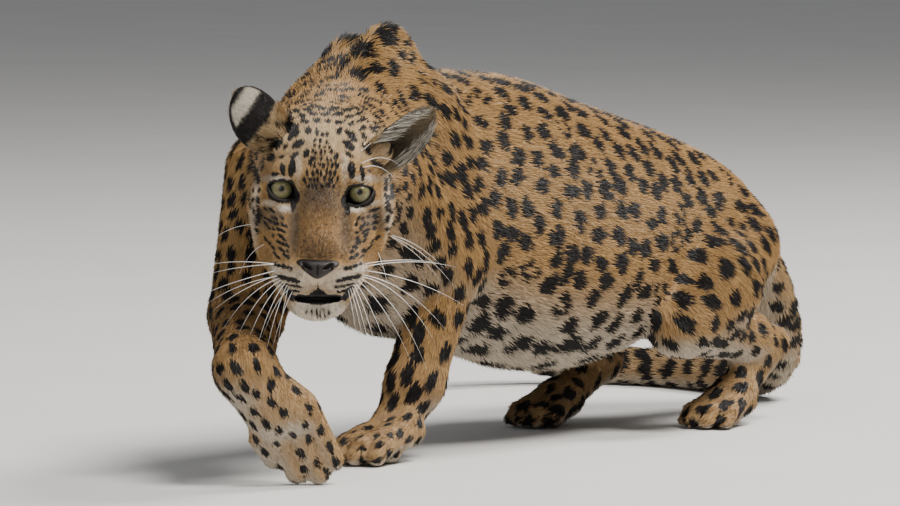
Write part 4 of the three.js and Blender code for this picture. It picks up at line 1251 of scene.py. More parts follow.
class Pelt:
    """What the skin and the coat share, in pose millimetres: places, directions, region weights, markings."""

    def __init__(self):
        self.mesh = skin_mesh()
        p = places(self.mesh)
        self.p = p
        self.out = vertex_normals(self.mesh)
        self.weights = region_weights(p)
        lies = np.stack([r.lie(p) for r in REGIONS], 1)
        lie = (lies * self.weights[..., None]).sum(1)
        lie -= (lie * self.out).sum(1, keepdims=True) * self.out
        self.lie = unit(lie)
        self.tint = ground_colour(p, self.out, self.weights)
        self.under = smoothstep(-0.2, -0.8, self.out[:, 2]) * share(self.weights, "trunk")
        q = in_head(p)
        self.face = (share(self.weights, "head") > 0.35) & (q[:, 2] > -92) & (np.abs(q[:, 0]) < 74)
        self.triangles = triangle_rows(self.mesh)
        self.tree = BVHTree.FromPolygons(p.tolist(), self.triangles.tolist())
        self.black = black_skin_and_mouth_shade(p)
        self.make_markings()

    def face_place(self, a, b):
        """The point on the skin under a place of the viewing plane, or None beside the animal."""
        start = HEAD_ORIGIN + a * VIEW[0] + b * VIEW[1] + 400 * VIEW[2]
        hit = self.tree.ray_cast(Vector(start), Vector(-VIEW[2]))[0]
        return None if hit is None else np.array(hit)

    def make_markings(self):
        rng = np.random.default_rng(SEED)
        spots = Spots()
        for a, b, long, wide, tilt in face_spots():
            place = self.face_place(a, b)
            if place is None:
                continue
            turn = math.radians(tilt)
            lie = VIEW[1] * math.cos(turn) + VIEW[0] * math.sin(turn)
            spots.add(place, lie, VIEW[2], long * FACE_SPOT_GROWTH, wide * FACE_SPOT_GROWTH, 0.08)
        roots = self.sample(SPOT_TRIALS, rng, 1.0)
        scatter_spots(roots, rng, spots)
        self.spots, self.phases = spots.table(np.random.default_rng(SEED + 2))
        self.mark = spot_distance(self.p, self.spots, self.phases)

    def double_areas(self):
        """Twice the area of each triangle, in square millimetres."""
        a, b, c = (self.p[self.triangles[:, k]] for k in range(3))
        return np.linalg.norm(np.cross(b - a, c - a), axis=1)

    def sample(self, count, rng, density):
        """Random points on the skin, by area and each triangle's density."""
        t = self.triangles
        edges = np.cumsum(self.double_areas() / 2 * density)
        chosen = np.searchsorted(edges, rng.uniform(0, edges[-1], count))
        r = rng.uniform(0, 1, (count, 2))
        flip = r.sum(1) > 1
        r[flip] = 1 - r[flip]
        weight = np.stack([1 - r.sum(1), r[:, 0], r[:, 1]], 1)

        def blend(values):
            rows = values[t[chosen]].astype(float)
            return (rows * (weight[..., None] if rows.ndim == 3 else weight)).sum(1)
        return {"p": blend(self.p), "out": unit(blend(self.out)), "lie": unit(blend(self.lie)),
                "weights": blend(self.weights), "under": blend(self.under), "tint": blend(self.tint),
                "face": blend(self.face) > 0.5, "black": blend(self.black)}


PELT = []


def pelt():
    """The pelt, made once."""
    if not PELT:
        PELT.append(Pelt())
    return PELT[0]


FLESH_NODES = [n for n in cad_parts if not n.startswith(("eye_", "nose", "ear_"))]


def make_skin():
    shared = pelt()
    mesh = shared.mesh
    # black skin round the eyes and lips, and painted shade in the mouth's gap, set as marking
    mark = np.minimum(shared.mark, np.where(shared.black > 0.5, -3.0, NO_SPOT))
    set_attribute(mesh, "mark", "FLOAT", mark)
    set_attribute(mesh, "tint", "FLOAT_COLOR", opaque(shared.tint))
    put(mesh, to_frame(shared.p))
    mesh.shade_smooth()
    skin = add_object("skin", mesh, finishes()["skin"])
    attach(skin, BODY)
    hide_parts(*FLESH_NODES)


# Coat: tufts set on points by a node tree

def ways_in_and_out(tree, *inputs):
    """Gives a geometry tree its named inputs with their values, and returns its first and last nodes."""
    new_socket = tree.interface.new_socket
    new_socket("Geometry", in_out="INPUT", socket_type="NodeSocketGeometry")
    for name, kind, value in inputs:
        new_socket(name, in_out="INPUT", socket_type="NodeSocket" + kind).default_value = value
    new_socket("Geometry", in_out="OUTPUT", socket_type="NodeSocketGeometry")
    return node(tree, "NodeGroupInput"), node(tree, "NodeGroupOutput")


def named(tree, name, kind):
    """A value that the geometry holds under a name."""
    made = node(tree, "GeometryNodeInputNamedAttribute", data_type=kind)
    made.inputs["Name"].default_value = name
    return made.outputs["Attribute"]


def stored(tree, geometry, name, value, kind="FLOAT", domain="POINT"):
    """The geometry with a value held under a name."""
    made = node(tree, "GeometryNodeStoreNamedAttribute", data_type=kind, domain=domain)
    made.inputs["Name"].default_value = name
    tree.links.new(geometry, made.inputs["Geometry"])
    tree.links.new(value, made.inputs["Value"])
    return made.outputs["Geometry"]


def realized(tree, geometry):
    real = node(tree, "GeometryNodeRealizeInstances")
    tree.links.new(geometry, real.inputs["Geometry"])
    return real.outputs["Geometry"]


def dress(tree, geometry, start, end):
    """Gives the geometry its finish and ends the tree."""
    made = node(tree, "GeometryNodeSetMaterial")
    tree.links.new(geometry, made.inputs["Geometry"])
    tree.links.new(start.outputs["Finish"], made.inputs["Material"])
    tree.links.new(made.outputs["Geometry"], end.inputs["Geometry"])


def tuft_shape(tree, sides):
    """A cone one unit long, each point of which keeps how far along and across it lies."""
    cone = node(tree, "GeometryNodeMeshCone", fill_type="NGON")
    for name, value in (("Radius Top", 0), ("Radius Bottom", 1), ("Depth", 1)):
        cone.inputs[name].default_value = value
    tree.links.new(sides, cone.inputs["Vertices"])
    place = node(tree, "GeometryNodeInputPosition")
    split = node(tree, "ShaderNodeSeparateXYZ")
    tree.links.new(place.outputs[0], split.inputs[0])
    shape = stored(tree, cone.outputs["Mesh"], "along", split.outputs["Z"])
    return stored(tree, shape, "across", split.outputs["Y"])


def tuft_turn(tree):
    """Turns a tuft's length along its lie and its flat side outwards."""
    turn = node(tree, "FunctionNodeAlignRotationToVector", axis="Z")
    tree.links.new(named(tree, "lie", "FLOAT_VECTOR"), turn.inputs["Vector"])
    roll = node(tree, "FunctionNodeAlignRotationToVector", axis="X", pivot_axis="Z")
    tree.links.new(turn.outputs["Rotation"], roll.inputs["Rotation"])
    tree.links.new(named(tree, "out", "FLOAT_VECTOR"), roll.inputs["Vector"])
    return roll.outputs["Rotation"]


def tuft_unwrap(tree, patch):
    """Each corner's place in the unwrap: in a small patch round its tuft's own place."""
    corner = node(tree, "ShaderNodeCombineXYZ")
    tree.links.new(named(tree, "across", "FLOAT"), corner.inputs["X"])
    tree.links.new(named(tree, "along", "FLOAT"), corner.inputs["Y"])
    half = node(tree, "ShaderNodeMath", operation="MULTIPLY")
    half.inputs[1].default_value = 0.5
    tree.links.new(patch, half.inputs[0])
    total = node(tree, "ShaderNodeVectorMath", operation="ADD")
    tree.links.new(scaled(tree, corner.outputs["Vector"], half.outputs["Value"]), total.inputs[0])
    tree.links.new(named(tree, "unwrap", "FLOAT_VECTOR"), total.inputs[1])
    return total.outputs["Vector"]


def tuft_tree():
    """One thin, closed tuft on each point, turned along its lie, with its colour and patch of the unwrap."""
    tree = bpy.data.node_groups.new("tufts", "GeometryNodeTree")
    start, end = ways_in_and_out(tree, ("Sides", "Int", 3), ("Patch", "Float", 0.003),
                                 ("Finish", "Material", finishes()["coat"]))
    spread = node(tree, "GeometryNodeInstanceOnPoints")
    tree.links.new(start.outputs["Geometry"], spread.inputs["Points"])
    tree.links.new(tuft_shape(tree, start.outputs["Sides"]), spread.inputs["Instance"])
    tree.links.new(tuft_turn(tree), spread.inputs["Rotation"])
    tree.links.new(named(tree, "size", "FLOAT_VECTOR"), spread.inputs["Scale"])
    last = realized(tree, spread.outputs["Instances"])
    last = stored(tree, last, "OFBake", tuft_unwrap(tree, start.outputs["Patch"]), "FLOAT2", "CORNER")
    for name in ("unwrap", "across", "lie", "out", "size"):
        drop = node(tree, "GeometryNodeRemoveAttribute")
        drop.inputs["Name"].default_value = name
        tree.links.new(last, drop.inputs["Geometry"])
        last = drop.outputs["Geometry"]
    dress(tree, last, start, end)
    return tree


def evaluated(obj, tree):
    """The plain mesh that a node tree makes of an object."""
    modifier = obj.modifiers.new("make", "NODES")
    modifier.node_group = tree
    graph = bpy.context.evaluated_depsgraph_get()
    mesh = bpy.data.meshes.new_from_object(obj.evaluated_get(graph), depsgraph=graph)
    obj.modifiers.remove(modifier)
    bpy.data.objects.remove(obj)
    return mesh


def tufts(name, rows, tree):
    """A coat piece from rows of roots, lies, normals, sizes, tints and unwrap places."""
    mesh = bpy.data.meshes.new(name + "_roots")
    mesh.from_pydata(to_frame(rows["p"]), [], [])
    set_attribute(mesh, "lie", "FLOAT_VECTOR", rows["lie"])
    set_attribute(mesh, "out", "FLOAT_VECTOR", rows["out"])
    set_attribute(mesh, "size", "FLOAT_VECTOR", rows["size"] * MM)
    set_attribute(mesh, "tint", "FLOAT_COLOR", opaque(rows["tint"]))
    set_attribute(mesh, "unwrap", "FLOAT_VECTOR", np.hstack([rows["unwrap"], np.zeros((len(rows["p"]), 1))]))
    made = evaluated(add_object(name + "_points", mesh, None), tree)
    made.name = name
    piece = add_object(name, made, finishes()["coat"])
    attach(piece, BODY)


def line_unwrap(p, line):
    """Unwrap round a line: along it and the angle about it."""
    line = np.array(line, float)
    lengths = run(line)
    last = len(line) - 2
    best, along, angle = np.full(len(p), 1e9), np.zeros(len(p)), np.zeros(len(p))
    for i in range(last + 1):
        e = line[i + 1] - line[i]
        q = p - line[i]
        t = np.clip(q @ e / (e @ e), 0 if i else -9, 1 if i < last else 9)
        off = q - t[:, None] * e
        _, d = beside(p, line[i], line[i + 1])
        side = unit(np.cross(e, [0, 0, 1.0]) + np.array([1e-6, 0, 0]))
        up = np.cross(side, unit(e))
        closer = d < best
        best = np.where(closer, d, best)
        along = np.where(closer, lengths[i] + t * np.linalg.norm(e), along)
        angle = np.where(closer, np.arctan2(off @ side, off @ up), angle)
    low, high = along.min(), along.max()
    return np.stack([0.01 + 0.98 * (along - low) / max(high - low, 1e-6),
                     angle / (2 * math.pi) * 0.98 + 0.5], 1)


def head_unwrap(p):
    """Unwrap of the head, centred on the nose, that keeps areas."""
    q = unit(in_head(p) - np.array([0, -20, -50]))
    r = np.sqrt(np.clip((1 - q[:, 2]) / 2, 0, 1))
    side = unit(q[:, :2])
    return 0.5 + 0.49 * side * r[:, None]


# Tufts for each square centimetre of skin
DENSITY = {"head": 54.0, "face": 88.0, "neck": 31.0, "trunk": 22.5, "leg": 29.0, "tail": 26.0}
MOST_TUFTS = 49500


# What the hair's length gains or loses in each zone, as a share, and how far it rises there, in degrees
GROWTH = {"front": -0.42, "under": 0.7, "muzzle": -0.2, "cheek": 0.9, "chin": 0.8}
HUMP_GROWTH = 0.9
RISE = {"under": 5, "cheek": 6, "hump": 16, "front": 7}
FLAT_RISE = 13

TIP_CLEARANCE = 0.6
TRUNK_CUTS = (-999, 270, 400, 530, 660, 1999)


def bare_skin(p):
    """Where no hair grows: between the lids and the lips, on the nose and on the soles."""
    q, v = in_head(p), in_view(p)
    bare = (nose_form(p) < 1.5) | (p[:, 2] < 3.0)
    for _, _, rows, _, d, _ in round_eyes(v, q[:, 2] > -12, 26):
        bare[rows[d < 1.2]] = True
    rows = np.nonzero((q[:, 2] > 5) & (np.abs(v[:, 1] - MOUTH_HEIGHT) < 18) & (np.abs(v[:, 0]) < 45))[0]
    d, _ = outline_distance(v[rows, :2], MOUTH_LINE)
    bare[rows[d < 1.0]] = True
    return bare


def coat_roots(shared, rng):
    """Random roots over the hairy skin, as dense as each part of the coat asks."""
    w = shared.weights
    legs = 1 - share(w, "head", "neck", "trunk", "tail")
    density = (share(w, "head") * DENSITY["head"] + share(w, "neck") * DENSITY["neck"]
               + share(w, "trunk") * DENSITY["trunk"] + legs * DENSITY["leg"]
               + share(w, "tail") * DENSITY["tail"])
    ahead = in_head(shared.p)[:, 2] > -25
    density = np.where(shared.face & ahead, DENSITY["face"], density) * bpy.context.scene.leopard.fullness
    bare = bare_skin(shared.p)
    density[bare] = 0
    t = shared.triangles
    hairy = density[t].mean(1) * (~bare[t]).all(1)
    square_centimetres = shared.double_areas() / 200
    return shared.sample(int((square_centimetres * hairy).sum()), rng, hairy)


def coat_zones(rows):
    """How much each root lies on the front of the head, muzzle, cheek, chin, hump, belly or nose bridge."""
    q, v = in_head(rows["p"]), in_view(rows["p"])
    on_head = share(rows["weights"], "head")
    x, y, z = rows["p"].T
    return {
        "front": on_head * smoothstep(-70, 10, q[:, 2]),
        "muzzle": on_head * smoothstep(30, 60, q[:, 2]),
        "cheek": on_head * smoothstep(52, 70, np.abs(v[:, 0])) * smoothstep(20, -30, v[:, 1]),
        "chin": on_head * smoothstep(-124, -134, v[:, 1]),
        "hump": np.exp(-((x + 246) / 20) ** 2 - ((y - 142) / 46) ** 2) * (z > 440),
        "under": rows["under"],
        "bridge": (on_head > 0.5) & (np.abs(v[:, 0]) < 27) & (v[:, 1] < 8) & (v[:, 1] > -84),
    }


def hair_tint(rows, zone, shared, rng):
    """Colour of each tuft: black on the markings, otherwise the ground with its grain."""
    p, n = rows["p"], len(rows["p"])
    mark = spot_distance(p, shared.spots, shared.phases)
    mark = mark + rng.normal(0, 0.3 + 0.35 * (share(rows["weights"], "head") < 0.5), n)
    black = (mark < 0) | (rows["black"] > 0.5)
    grain = 0.08 * mottle(p, 38) + 0.10 * mottle(p + 500, 9)
    grain += zone["front"] * (0.16 * mottle(p, 4.0) + 0.34 * mottle(p + 70, 2.3))
    speck = zone["bridge"] & (mottle(p + 30, 2.6) + rng.normal(0, 0.25, n) > 0.28)
    grain = np.where(speck, grain - 0.4, grain)
    tint = rows["tint"] * (rng.normal(1, 0.12, n).clip(0.6, 1.4) * (1 + grain))[:, None]
    tint = tint * (1 - 0.25 * smoothstep(1.2, 0.0, mark))[:, None]
    return np.where(black[:, None], BLACK * rng.uniform(0.7, 1.7, n)[:, None], tint)


def hair_lie(rows, zone, rng):
    """Direction of each tuft: along the coat, swung a little to one side and raised off the skin."""
    n = len(rows["p"])
    swing = rng.normal(0, 0.17, n) * (1 + 0.4 * rows["under"])
    side = np.cross(rows["out"], rows["lie"])
    lie = rows["lie"] * np.cos(swing)[:, None] + side * np.sin(swing)[:, None]
    rise = FLAT_RISE + sum(degrees * zone[name] for name, degrees in RISE.items())
    rise = np.radians(rise + rng.normal(0, 4.5, n)).clip(0.05, 0.6)
    return unit(lie * np.cos(rise)[:, None] + rows["out"] * np.sin(rise)[:, None])


def coat_rows():
    """Every tuft of the coat: root, lie, size and colour."""
    shared = pelt()
    rng = np.random.default_rng(SEED + 5)
    rows = coat_roots(shared, rng)
    zone = coat_zones(rows)
    length = rows["weights"] @ each("hair")
    for name, gain in GROWTH.items():
        length = length * (1 + gain * zone[name])
    length *= (1 + HUMP_GROWTH * zone["hump"]) * rng.uniform(0.72, 1.22, len(length))
    rows["tint"] = hair_tint(rows, zone, shared, rng)
    lie = hair_lie(rows, zone, rng)
    width = (0.63 + 0.062 * length) * rng.uniform(0.8, 1.2, len(length))
    width *= 1 - 0.25 * zone["front"]
    rows["size"] = np.stack([width * 0.42, width, length], 1)
    rows["p"] = rows["p"] - rows["out"] * (0.5 - 0.4 * zone["front"])[:, None]
    low = (rows["p"] + lie * length[:, None])[:, 2] < TIP_CLEARANCE
    lie[low, 2] = np.maximum(lie[low, 2], 0.02)
    rows["lie"] = unit(lie)
    return rows


def coat_groups(rows):
    """Which coat piece each tuft belongs to, with the line that it is unwrapped round."""
    names = np.array(REGION_NAMES)[rows["weights"].argmax(1)]
    y = rows["p"][:, 1]
    q = in_head(rows["p"])
    on_head, front = names == "head", q[:, 2] > -40
    groups = {
        "coat_face_left": (on_head & front & (q[:, 0] > 0), None),
        "coat_face_right": (on_head & front & (q[:, 0] <= 0), None),
        "coat_crown": (on_head & ~front, None),
        "coat_neck": (names == "neck", NECK_LINE),
    }
    for i, (low, high) in enumerate(zip(TRUNK_CUTS, TRUNK_CUTS[1:]), 1):
        groups[f"coat_trunk_{i}"] = ((names == "trunk") & (y > low) & (y <= high), TRUNK_LINE)
    for side, fore_line, hind_line in (("left", FORE_LEFT_LINE, HIND_LEFT_LINE),
                                       ("right", FORE_RIGHT_LINE, HIND_RIGHT_LINE)):
        fore = np.isin(names, [part + side for part in ("shoulder_", "forearm_", "forepaw_")])
        groups[f"coat_foreleg_{side}"] = (fore, fore_line)
        groups[f"coat_thigh_{side}"] = (names == f"thigh_{side}", TRUNK_LINE)
        groups[f"coat_hindleg_{side}"] = (names == f"hindleg_{side}", hind_line)
    groups["coat_tail"] = (names == "tail", TAIL_LINE)
    return groups


def make_coat():
    rows = coat_rows()
    tree = tuft_tree()
    for name, (chosen, line) in coat_groups(rows).items():
        index = np.nonzero(chosen)[0][:MOST_TUFTS]
        part = {key: value[index] for key, value in rows.items()}
        part["unwrap"] = head_unwrap(part["p"]) if line is None else line_unwrap(part["p"], line)
        tufts(name, part, tree)


# Eyes

EYE_RINGS = 40
EYE_SIDES = 64
RIM_SIDES = 8


def ring_tube(points, radii, sides):
    """Points and faces of a tube along a closed line, with its radius at each point."""
    n = len(points)
    tangents = unit(np.roll(points, -1, 0) - np.roll(points, 1, 0))
    normal = unit(np.cross(tangents[0], [0.3, 0.5, 0.8]))
    rings, faces = [], []
    for i in range(n):
        normal = unit(normal - (normal @ tangents[i]) * tangents[i])
        other = np.cross(tangents[i], normal)
        j = (i + 1) % n
        for k in range(sides):
            a = 2 * math.pi * k / sides
            m = (k + 1) % sides
            rings.append(points[i] + radii[i] * (normal * math.cos(a) + other * math.sin(a)))
            faces.append((i * sides + k, i * sides + m, j * sides + m, j * sides + k))
    return np.array(rings), faces


def mend(mesh, merge=0.0):
    """Joins points that lie together, where asked, and turns the faces outwards."""
    bm = bmesh.new()
    bm.from_mesh(mesh)
    if merge:
        bmesh.ops.remove_doubles(bm, verts=bm.verts, dist=merge)
    bmesh.ops.recalc_face_normals(bm, faces=bm.faces)
    bm.to_mesh(mesh)
    bm.free()
    mesh.shade_smooth()


def plain_mesh(name, points, faces):
    mesh = bpy.data.meshes.new(name)
    mesh.from_pydata(to_frame(points), [], faces)
    mend(mesh)
    return mesh


def ball_points(centre):
    """Points of an eye in rings from its front, where it bulges, and how far out in the iris each is."""
    gaze = unit(VIEW[2] + 0.07 * VIEW[1])
    across = unit(VIEW[0] - (VIEW[0] @ gaze) * gaze)
    up = np.cross(gaze, across)
    points, reach = [], []
    for i in range(EYE_RINGS + 1):
        polar = math.pi * i / EYE_RINGS
        radius = EYE_RADIUS - 0.7 + math.exp(-(polar / 0.62) ** 4)
        for k in range(EYE_SIDES):
            a = 2 * math.pi * k / EYE_SIDES
            rim = math.cos(a) * across + math.sin(a) * up
            points.append(centre + radius * (math.cos(polar) * gaze + math.sin(polar) * rim))
            reach.append(math.sin(min(polar, math.pi / 2)) * EYE_RADIUS / IRIS_RADIUS)
    return points, reach


def eye_mesh(name, centre):
    """An eye with a map of its iris: round it and outwards from its middle."""
    points, reach = ball_points(centre)
    faces = []
    for i in range(EYE_RINGS):
        for k in range(EYE_SIDES):
            m = (k + 1) % EYE_SIDES
            near, far = i * EYE_SIDES, (i + 1) * EYE_SIDES
            faces.append((near + k, far + k, far + m, near + m))
    mesh = bpy.data.meshes.new(name)
    mesh.from_pydata(to_frame(points), [], faces)
    layer = mesh.uv_layers.new(name="iris")
    for face in mesh.polygons:
        ks = [mesh.loops[loop].vertex_index % EYE_SIDES for loop in face.loop_indices]
        wrap = max(ks) - min(ks) > EYE_SIDES / 2
        for k, loop in zip(ks, face.loop_indices):
            turn = k + EYE_SIDES if wrap and k < EYE_SIDES / 2 else k
            layer.data[loop].uv = (turn / EYE_SIDES, reach[mesh.loops[loop].vertex_index])
    mend(mesh, 1e-6)
    return mesh


def rim_mesh(name, side, centre):
    """The moist rim of the lids, along their opening and just over the eye."""
    outline = closed_curve(lid_outline(side)[::3], 3)
    depth = over_ball(EYE_RADIUS + LID_THICKNESS * 0.55, outline)
    line = HEAD_ORIGIN + (np.hstack([outline, depth[:, None]]) + in_view(centre[None])[0]) @ VIEW
    radii = 0.95 + 0.35 * smoothstep(0, -10, outline[:, 1])
    return plain_mesh(name, *ring_tube(line, radii, RIM_SIDES))


def make_eyes():
    for name, side, centre in zip(("eye_right", "eye_left"), (-1, 1), EYE_CENTRES):
        ball = name + "_ball"
        lids_rim = name.replace("eye", "lid_rim")
        eye = add_object(ball, eye_mesh(ball, centre), finishes()["eye"])
        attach(eye, BODY)
        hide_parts(name)
        rim = add_object(lids_rim, rim_mesh(lids_rim, side, centre), finishes()["rim"])
        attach(rim, BODY)


# Nose

NOSE_CENTRE = np.array([0, -52, 80.0])
NOSE_VOXEL = 0.9
NOSE_HALF = 36


def nose_form(p):
    """The nose pad: broad above, narrowing to the groove of the lip, with a nostril at each side."""
    q = in_head(p) - NOSE_CENTRE
    narrow = np.where(q[:, 1] < 0, 1 + 0.042 * q[:, 1], 1).clip(0.22, 1)
    height = np.where(q[:, 1] > -3, 8.5, 15)
    r = np.stack([q[:, 0] / (24.5 * narrow), (q[:, 1] + 3) / height, q[:, 2] / 15], 1)
    k = (np.abs(r) ** 2.5).sum(1) ** (1 / 2.5)
    return (k - 1) * 11 * narrow


def nose_with_nostrils(p):
    """The nose pad with an oval hole and a slit at each side, and the groove down its middle."""
    d = nose_form(p)
    q = in_head(p) - NOSE_CENTRE
    for s in (-1, 1):
        x, y, z = s * q[:, 0], q[:, 1], q[:, 2]
        x2, y2 = (x - 12.5) * 0.9 + (y + 0.5) * 0.42, (y + 0.5) * 0.9 - (x - 12.5) * 0.42
        hole = (np.sqrt((x2 / 7.2) ** 2 + (y2 / 2.6) ** 2 + ((z - 15) / 9) ** 2) - 1) * 2.6
        slit = (np.sqrt(((x - 20) / 6.5) ** 2 + ((y + 4.2 + (x - 20) * 0.3) / 1.2) ** 2
                        + ((z - 13) / 9) ** 2) - 1) * 1.2
        hole = np.minimum(hole, slit)
        h = np.maximum(1.6 - np.abs(d + hole), 0) / 1.6
        d = np.maximum(d, -hole) + h * h * 0.4
    groove = np.hypot(q[:, 0], (q[:, 2] - 15.5) / 3.0) - 1
    groove = np.where(q[:, 1] < 2, groove, 9)
    return np.maximum(d, -groove)


def make_nose():
    low, high = out_of_head(NOSE_CENTRE) - NOSE_HALF, out_of_head(NOSE_CENTRE) + NOSE_HALF
    n = np.ceil((high - low) / NOSE_VOXEL).astype(int)
    values = nose_with_nostrils(low + cells(n) * NOSE_VOXEL).reshape(n)
    points, faces = polygons(values.astype(np.float32), low, NOSE_VOXEL)
    nose = add_object("nose_leather", plain_mesh("nose_leather", points, faces), finishes()["nose"])
    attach(nose, BODY)
    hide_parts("nose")


# Ears

EARS = {
    "ear_right": dict(base=[-49, 46, -48], up=[-0.8, 0.6, -0.05], face=[-0.5, -0.45, -0.74],
                      height=70, width=68),
    "ear_left": dict(base=[56, 22, -48], up=[0.8, 0.58, -0.1], face=[0.2, -0.35, 0.9], height=86, width=62),
}
EAR_THICKNESS = 4.4
EAR_FOOT = -0.3            # how far the ear goes on under the skin, as a share of its height
EAR_CURL = math.radians(62)
EAR_STEPS = 34
BACK_HAIRS = 5200
CUP_HAIRS = 2600
FRINGE_HAIRS = 900
ROOT_HAIRS = 2600


def ear_surface(ear, s, t, inner):
    """Points on one face of an ear: s from root to tip, t across; the inner face lies inside the cup."""
    a = unit(ear["up"])
    n = unit(np.array(ear["face"]) - (np.array(ear["face"]) @ a) * a)
    b = np.cross(a, n)
    side = 2 * t - 1
    curl = EAR_CURL * (1 - 0.45 * s)
    rise = 0.74 + 0.26 * np.sin(np.clip(s / 0.42, 0, 1) * math.pi / 2) + 0.9 * np.minimum(s, 0)
    round_tip = np.sqrt(np.maximum(1 - (np.maximum(s - 0.42, 0) / 0.585) ** 2, 0.0))
    outline = ear["width"] / 2 * rise * round_tip - 1.2
    radius = np.maximum(outline, 1.0) / np.sin(curl)
    thick = EAR_THICKNESS * (1 - 0.5 * s) * (1 - 0.75 * side**2) if inner else 0.0
    angle = side * curl
    r = np.maximum(radius - thick, 0.5)
    across, depth = np.sin(angle) * r, radius - np.cos(angle) * r
    lean = -8 * s * s
    place = (np.array(ear["base"]) + a * (ear["height"] * s)[..., None] + b * across[..., None]
             + n * (depth + lean - 9)[..., None])
    return out_of_head(place.reshape(-1, 3)).reshape(place.shape)


def ear_cup(ear, s):
    """The way from the back of the ear to its cup, at the middle of it."""
    middle = np.full(len(s), 0.5)
    return ear_surface(ear, s, middle, True) - ear_surface(ear, s, middle, False)


def shell_faces(rows, columns):
    """Faces of two grids of points, one behind the other, closed at their edges."""
    row = columns + 1
    under = (rows + 1) * row
    faces = []
    for i in range(rows):
        for j in range(columns):
            a = i * row + j
            faces.append((a, a + 1, a + row + 1, a + row))
            faces.append((under + a, under + a + row, under + a + row + 1, under + a + 1))
    for i in range(rows):
        a, b = i * row, i * row + columns
        faces.append((a, a + row, under + a + row, under + a))
        faces.append((b + row, b, under + b, under + b + row))
    for j in range(columns):
        b = rows * row + j
        faces.append((j + 1, j, under + j, under + j + 1))
        faces.append((b, b + 1, under + b + 1, under + b))
    return faces


def ear_mesh(name, ear):
    """The shell of an ear with its two colours."""
    s, t = np.meshgrid(EAR_FOOT + (1 - EAR_FOOT) * np.linspace(0, 1, EAR_STEPS + 1) ** 0.85,
                       np.linspace(0, 1, EAR_STEPS + 1), indexing="ij")
    points = np.vstack([ear_surface(ear, s, t, inner).reshape(-1, 3) for inner in (False, True)])
    mesh = plain_mesh(name, points, shell_faces(EAR_STEPS, EAR_STEPS))
    tint = np.vstack([colour.reshape(-1, 3) for colour in ear_colours(s, t)])
    set_attribute(mesh, "tint", "FLOAT_COLOR", opaque(tint))
    set_attribute(mesh, "mark", "FLOAT", np.full(len(tint), 9.0))
    return mesh


def make_ears():
    rng = np.random.default_rng(SEED + 9)
    tree = tuft_tree()
    for name, ear in EARS.items():
        shell = add_object(name + "_shell", ear_mesh(name + "_shell", ear), finishes()["skin"])
        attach(shell, BODY)
        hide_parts(name)
        ear_coat(name, ear, tree, rng)


def ear_colours(s, t):
    """Back: black base band, pale patch and black rim. Cup: pale grey, darker deep inside."""
    side = np.abs(2 * t - 1)
    edge = np.maximum(smoothstep(0.83, 0.92, s), smoothstep(0.76, 0.9, side) * (s > 0.35))
    band = smoothstep(0.66, 0.60, s) * smoothstep(0.24, 0.32, s)
    black = np.maximum(edge, band)[..., None]
    ground = PALE + (WHITE * 0.7 - PALE) * smoothstep(0.3, 0.6, s)[..., None]
    back = ground * (1 - black) + BLACK * 1.6 * black
    # painted shade in the hollow of the cup: darkest near the root and down the middle
    deep = smoothstep(0.85, 0.2, s) * smoothstep(1.0, 0.2, side)
    cup = PALE * 0.45 * (1 - deep[..., None]) + GREY_BROWN * 0.8 * deep[..., None]
    return back, cup


def in_spots(p):
    """A column that is true where a root lies in one of the spots."""
    return (spot_distance(p, pelt().spots, pelt().phases) < 0)[:, None]


def ear_hair(ear, rng, inner, count, length):
    """Short hair on the back of an ear or in its cup."""
    s, t = rng.uniform(0.02, 0.985, count), rng.uniform(0.02, 0.98, count)
    e = 0.01
    p = ear_surface(ear, s, t, inner)
    ds = unit(ear_surface(ear, s + e, t, inner) - p)
    dt = unit(ear_surface(ear, s, np.minimum(t + e, 1), inner) - ear_surface(ear, s, t - e, inner))
    out = unit(np.cross(dt, ds))
    out *= np.sign((out * ear_cup(ear, s)).sum(1))[:, None] * (1 if inner else -1)
    back, cup = ear_colours(s, t)
    tint = cup if inner else np.where(in_spots(p) & (s < 0.32)[:, None], BLACK, back)
    lie = ds + rng.normal(0, 0.18, (count, 3))
    lie -= (lie * out).sum(1, keepdims=True) * out
    lie = unit(unit(lie) + out * (0.4 if inner else 0.25))
    size = length * rng.uniform(0.7, 1.3, count) * (1 - 0.35 * s)
    return p - out * 0.3, lie, out, size, tint * rng.normal(1, 0.12, count)[:, None].clip(0.6, 1.4)


def ear_fringe(ear, rng):
    """Long pale hair from the two edges of an ear over its cup."""
    count = FRINGE_HAIRS
    t = np.where(rng.uniform(0, 1, count) < 0.6, rng.uniform(0.0, 0.16, count), rng.uniform(0.84, 1.0, count))
    s = rng.uniform(0.14, 0.8, count)
    p = ear_surface(ear, s, t, True)
    middle = ear_surface(ear, np.minimum(s + 0.16, 1), np.full(count, 0.5), True)
    out = unit(ear_cup(ear, s))
    up = unit(ear_surface(ear, s + 0.05, t, True) - p)
    lie = unit(unit(middle - p) * 0.55 + out * 0.35 + up * 0.75 + rng.normal(0, 0.12, (count, 3)))
    size = rng.uniform(16, 34, count) * (1 - 0.4 * s)
    return p, lie, out, size, WHITE * rng.normal(0.42, 0.26, count)[:, None].clip(0.06, 0.95)


def ear_fluff(ear, rng):
    """Soft hair that closes round the root of an ear and lies up along its back."""
    count = ROOT_HAIRS
    s, t = rng.uniform(-0.12, 0.2, count), rng.uniform(0, 1, count)
    p = ear_surface(ear, s, t, False)
    ds = unit(ear_surface(ear, s + 0.02, t, False) - p)
    away = unit(p - ear_surface(ear, s, np.full(count, 0.5), True))
    lie = unit(ds + away * rng.uniform(0.1, 0.5, count)[:, None] + rng.normal(0, 0.16, (count, 3)))
    size = rng.uniform(8, 15, count)
    tint = GOLD + (PALE - GOLD) * rng.uniform(0.3, 1.0, count)[:, None]
    tint = (tint * rng.normal(1, 0.14, count)[:, None]).clip(0.02, 1)
    return p - away * 0.6, lie, away, size, np.where(in_spots(p), BLACK, tint)


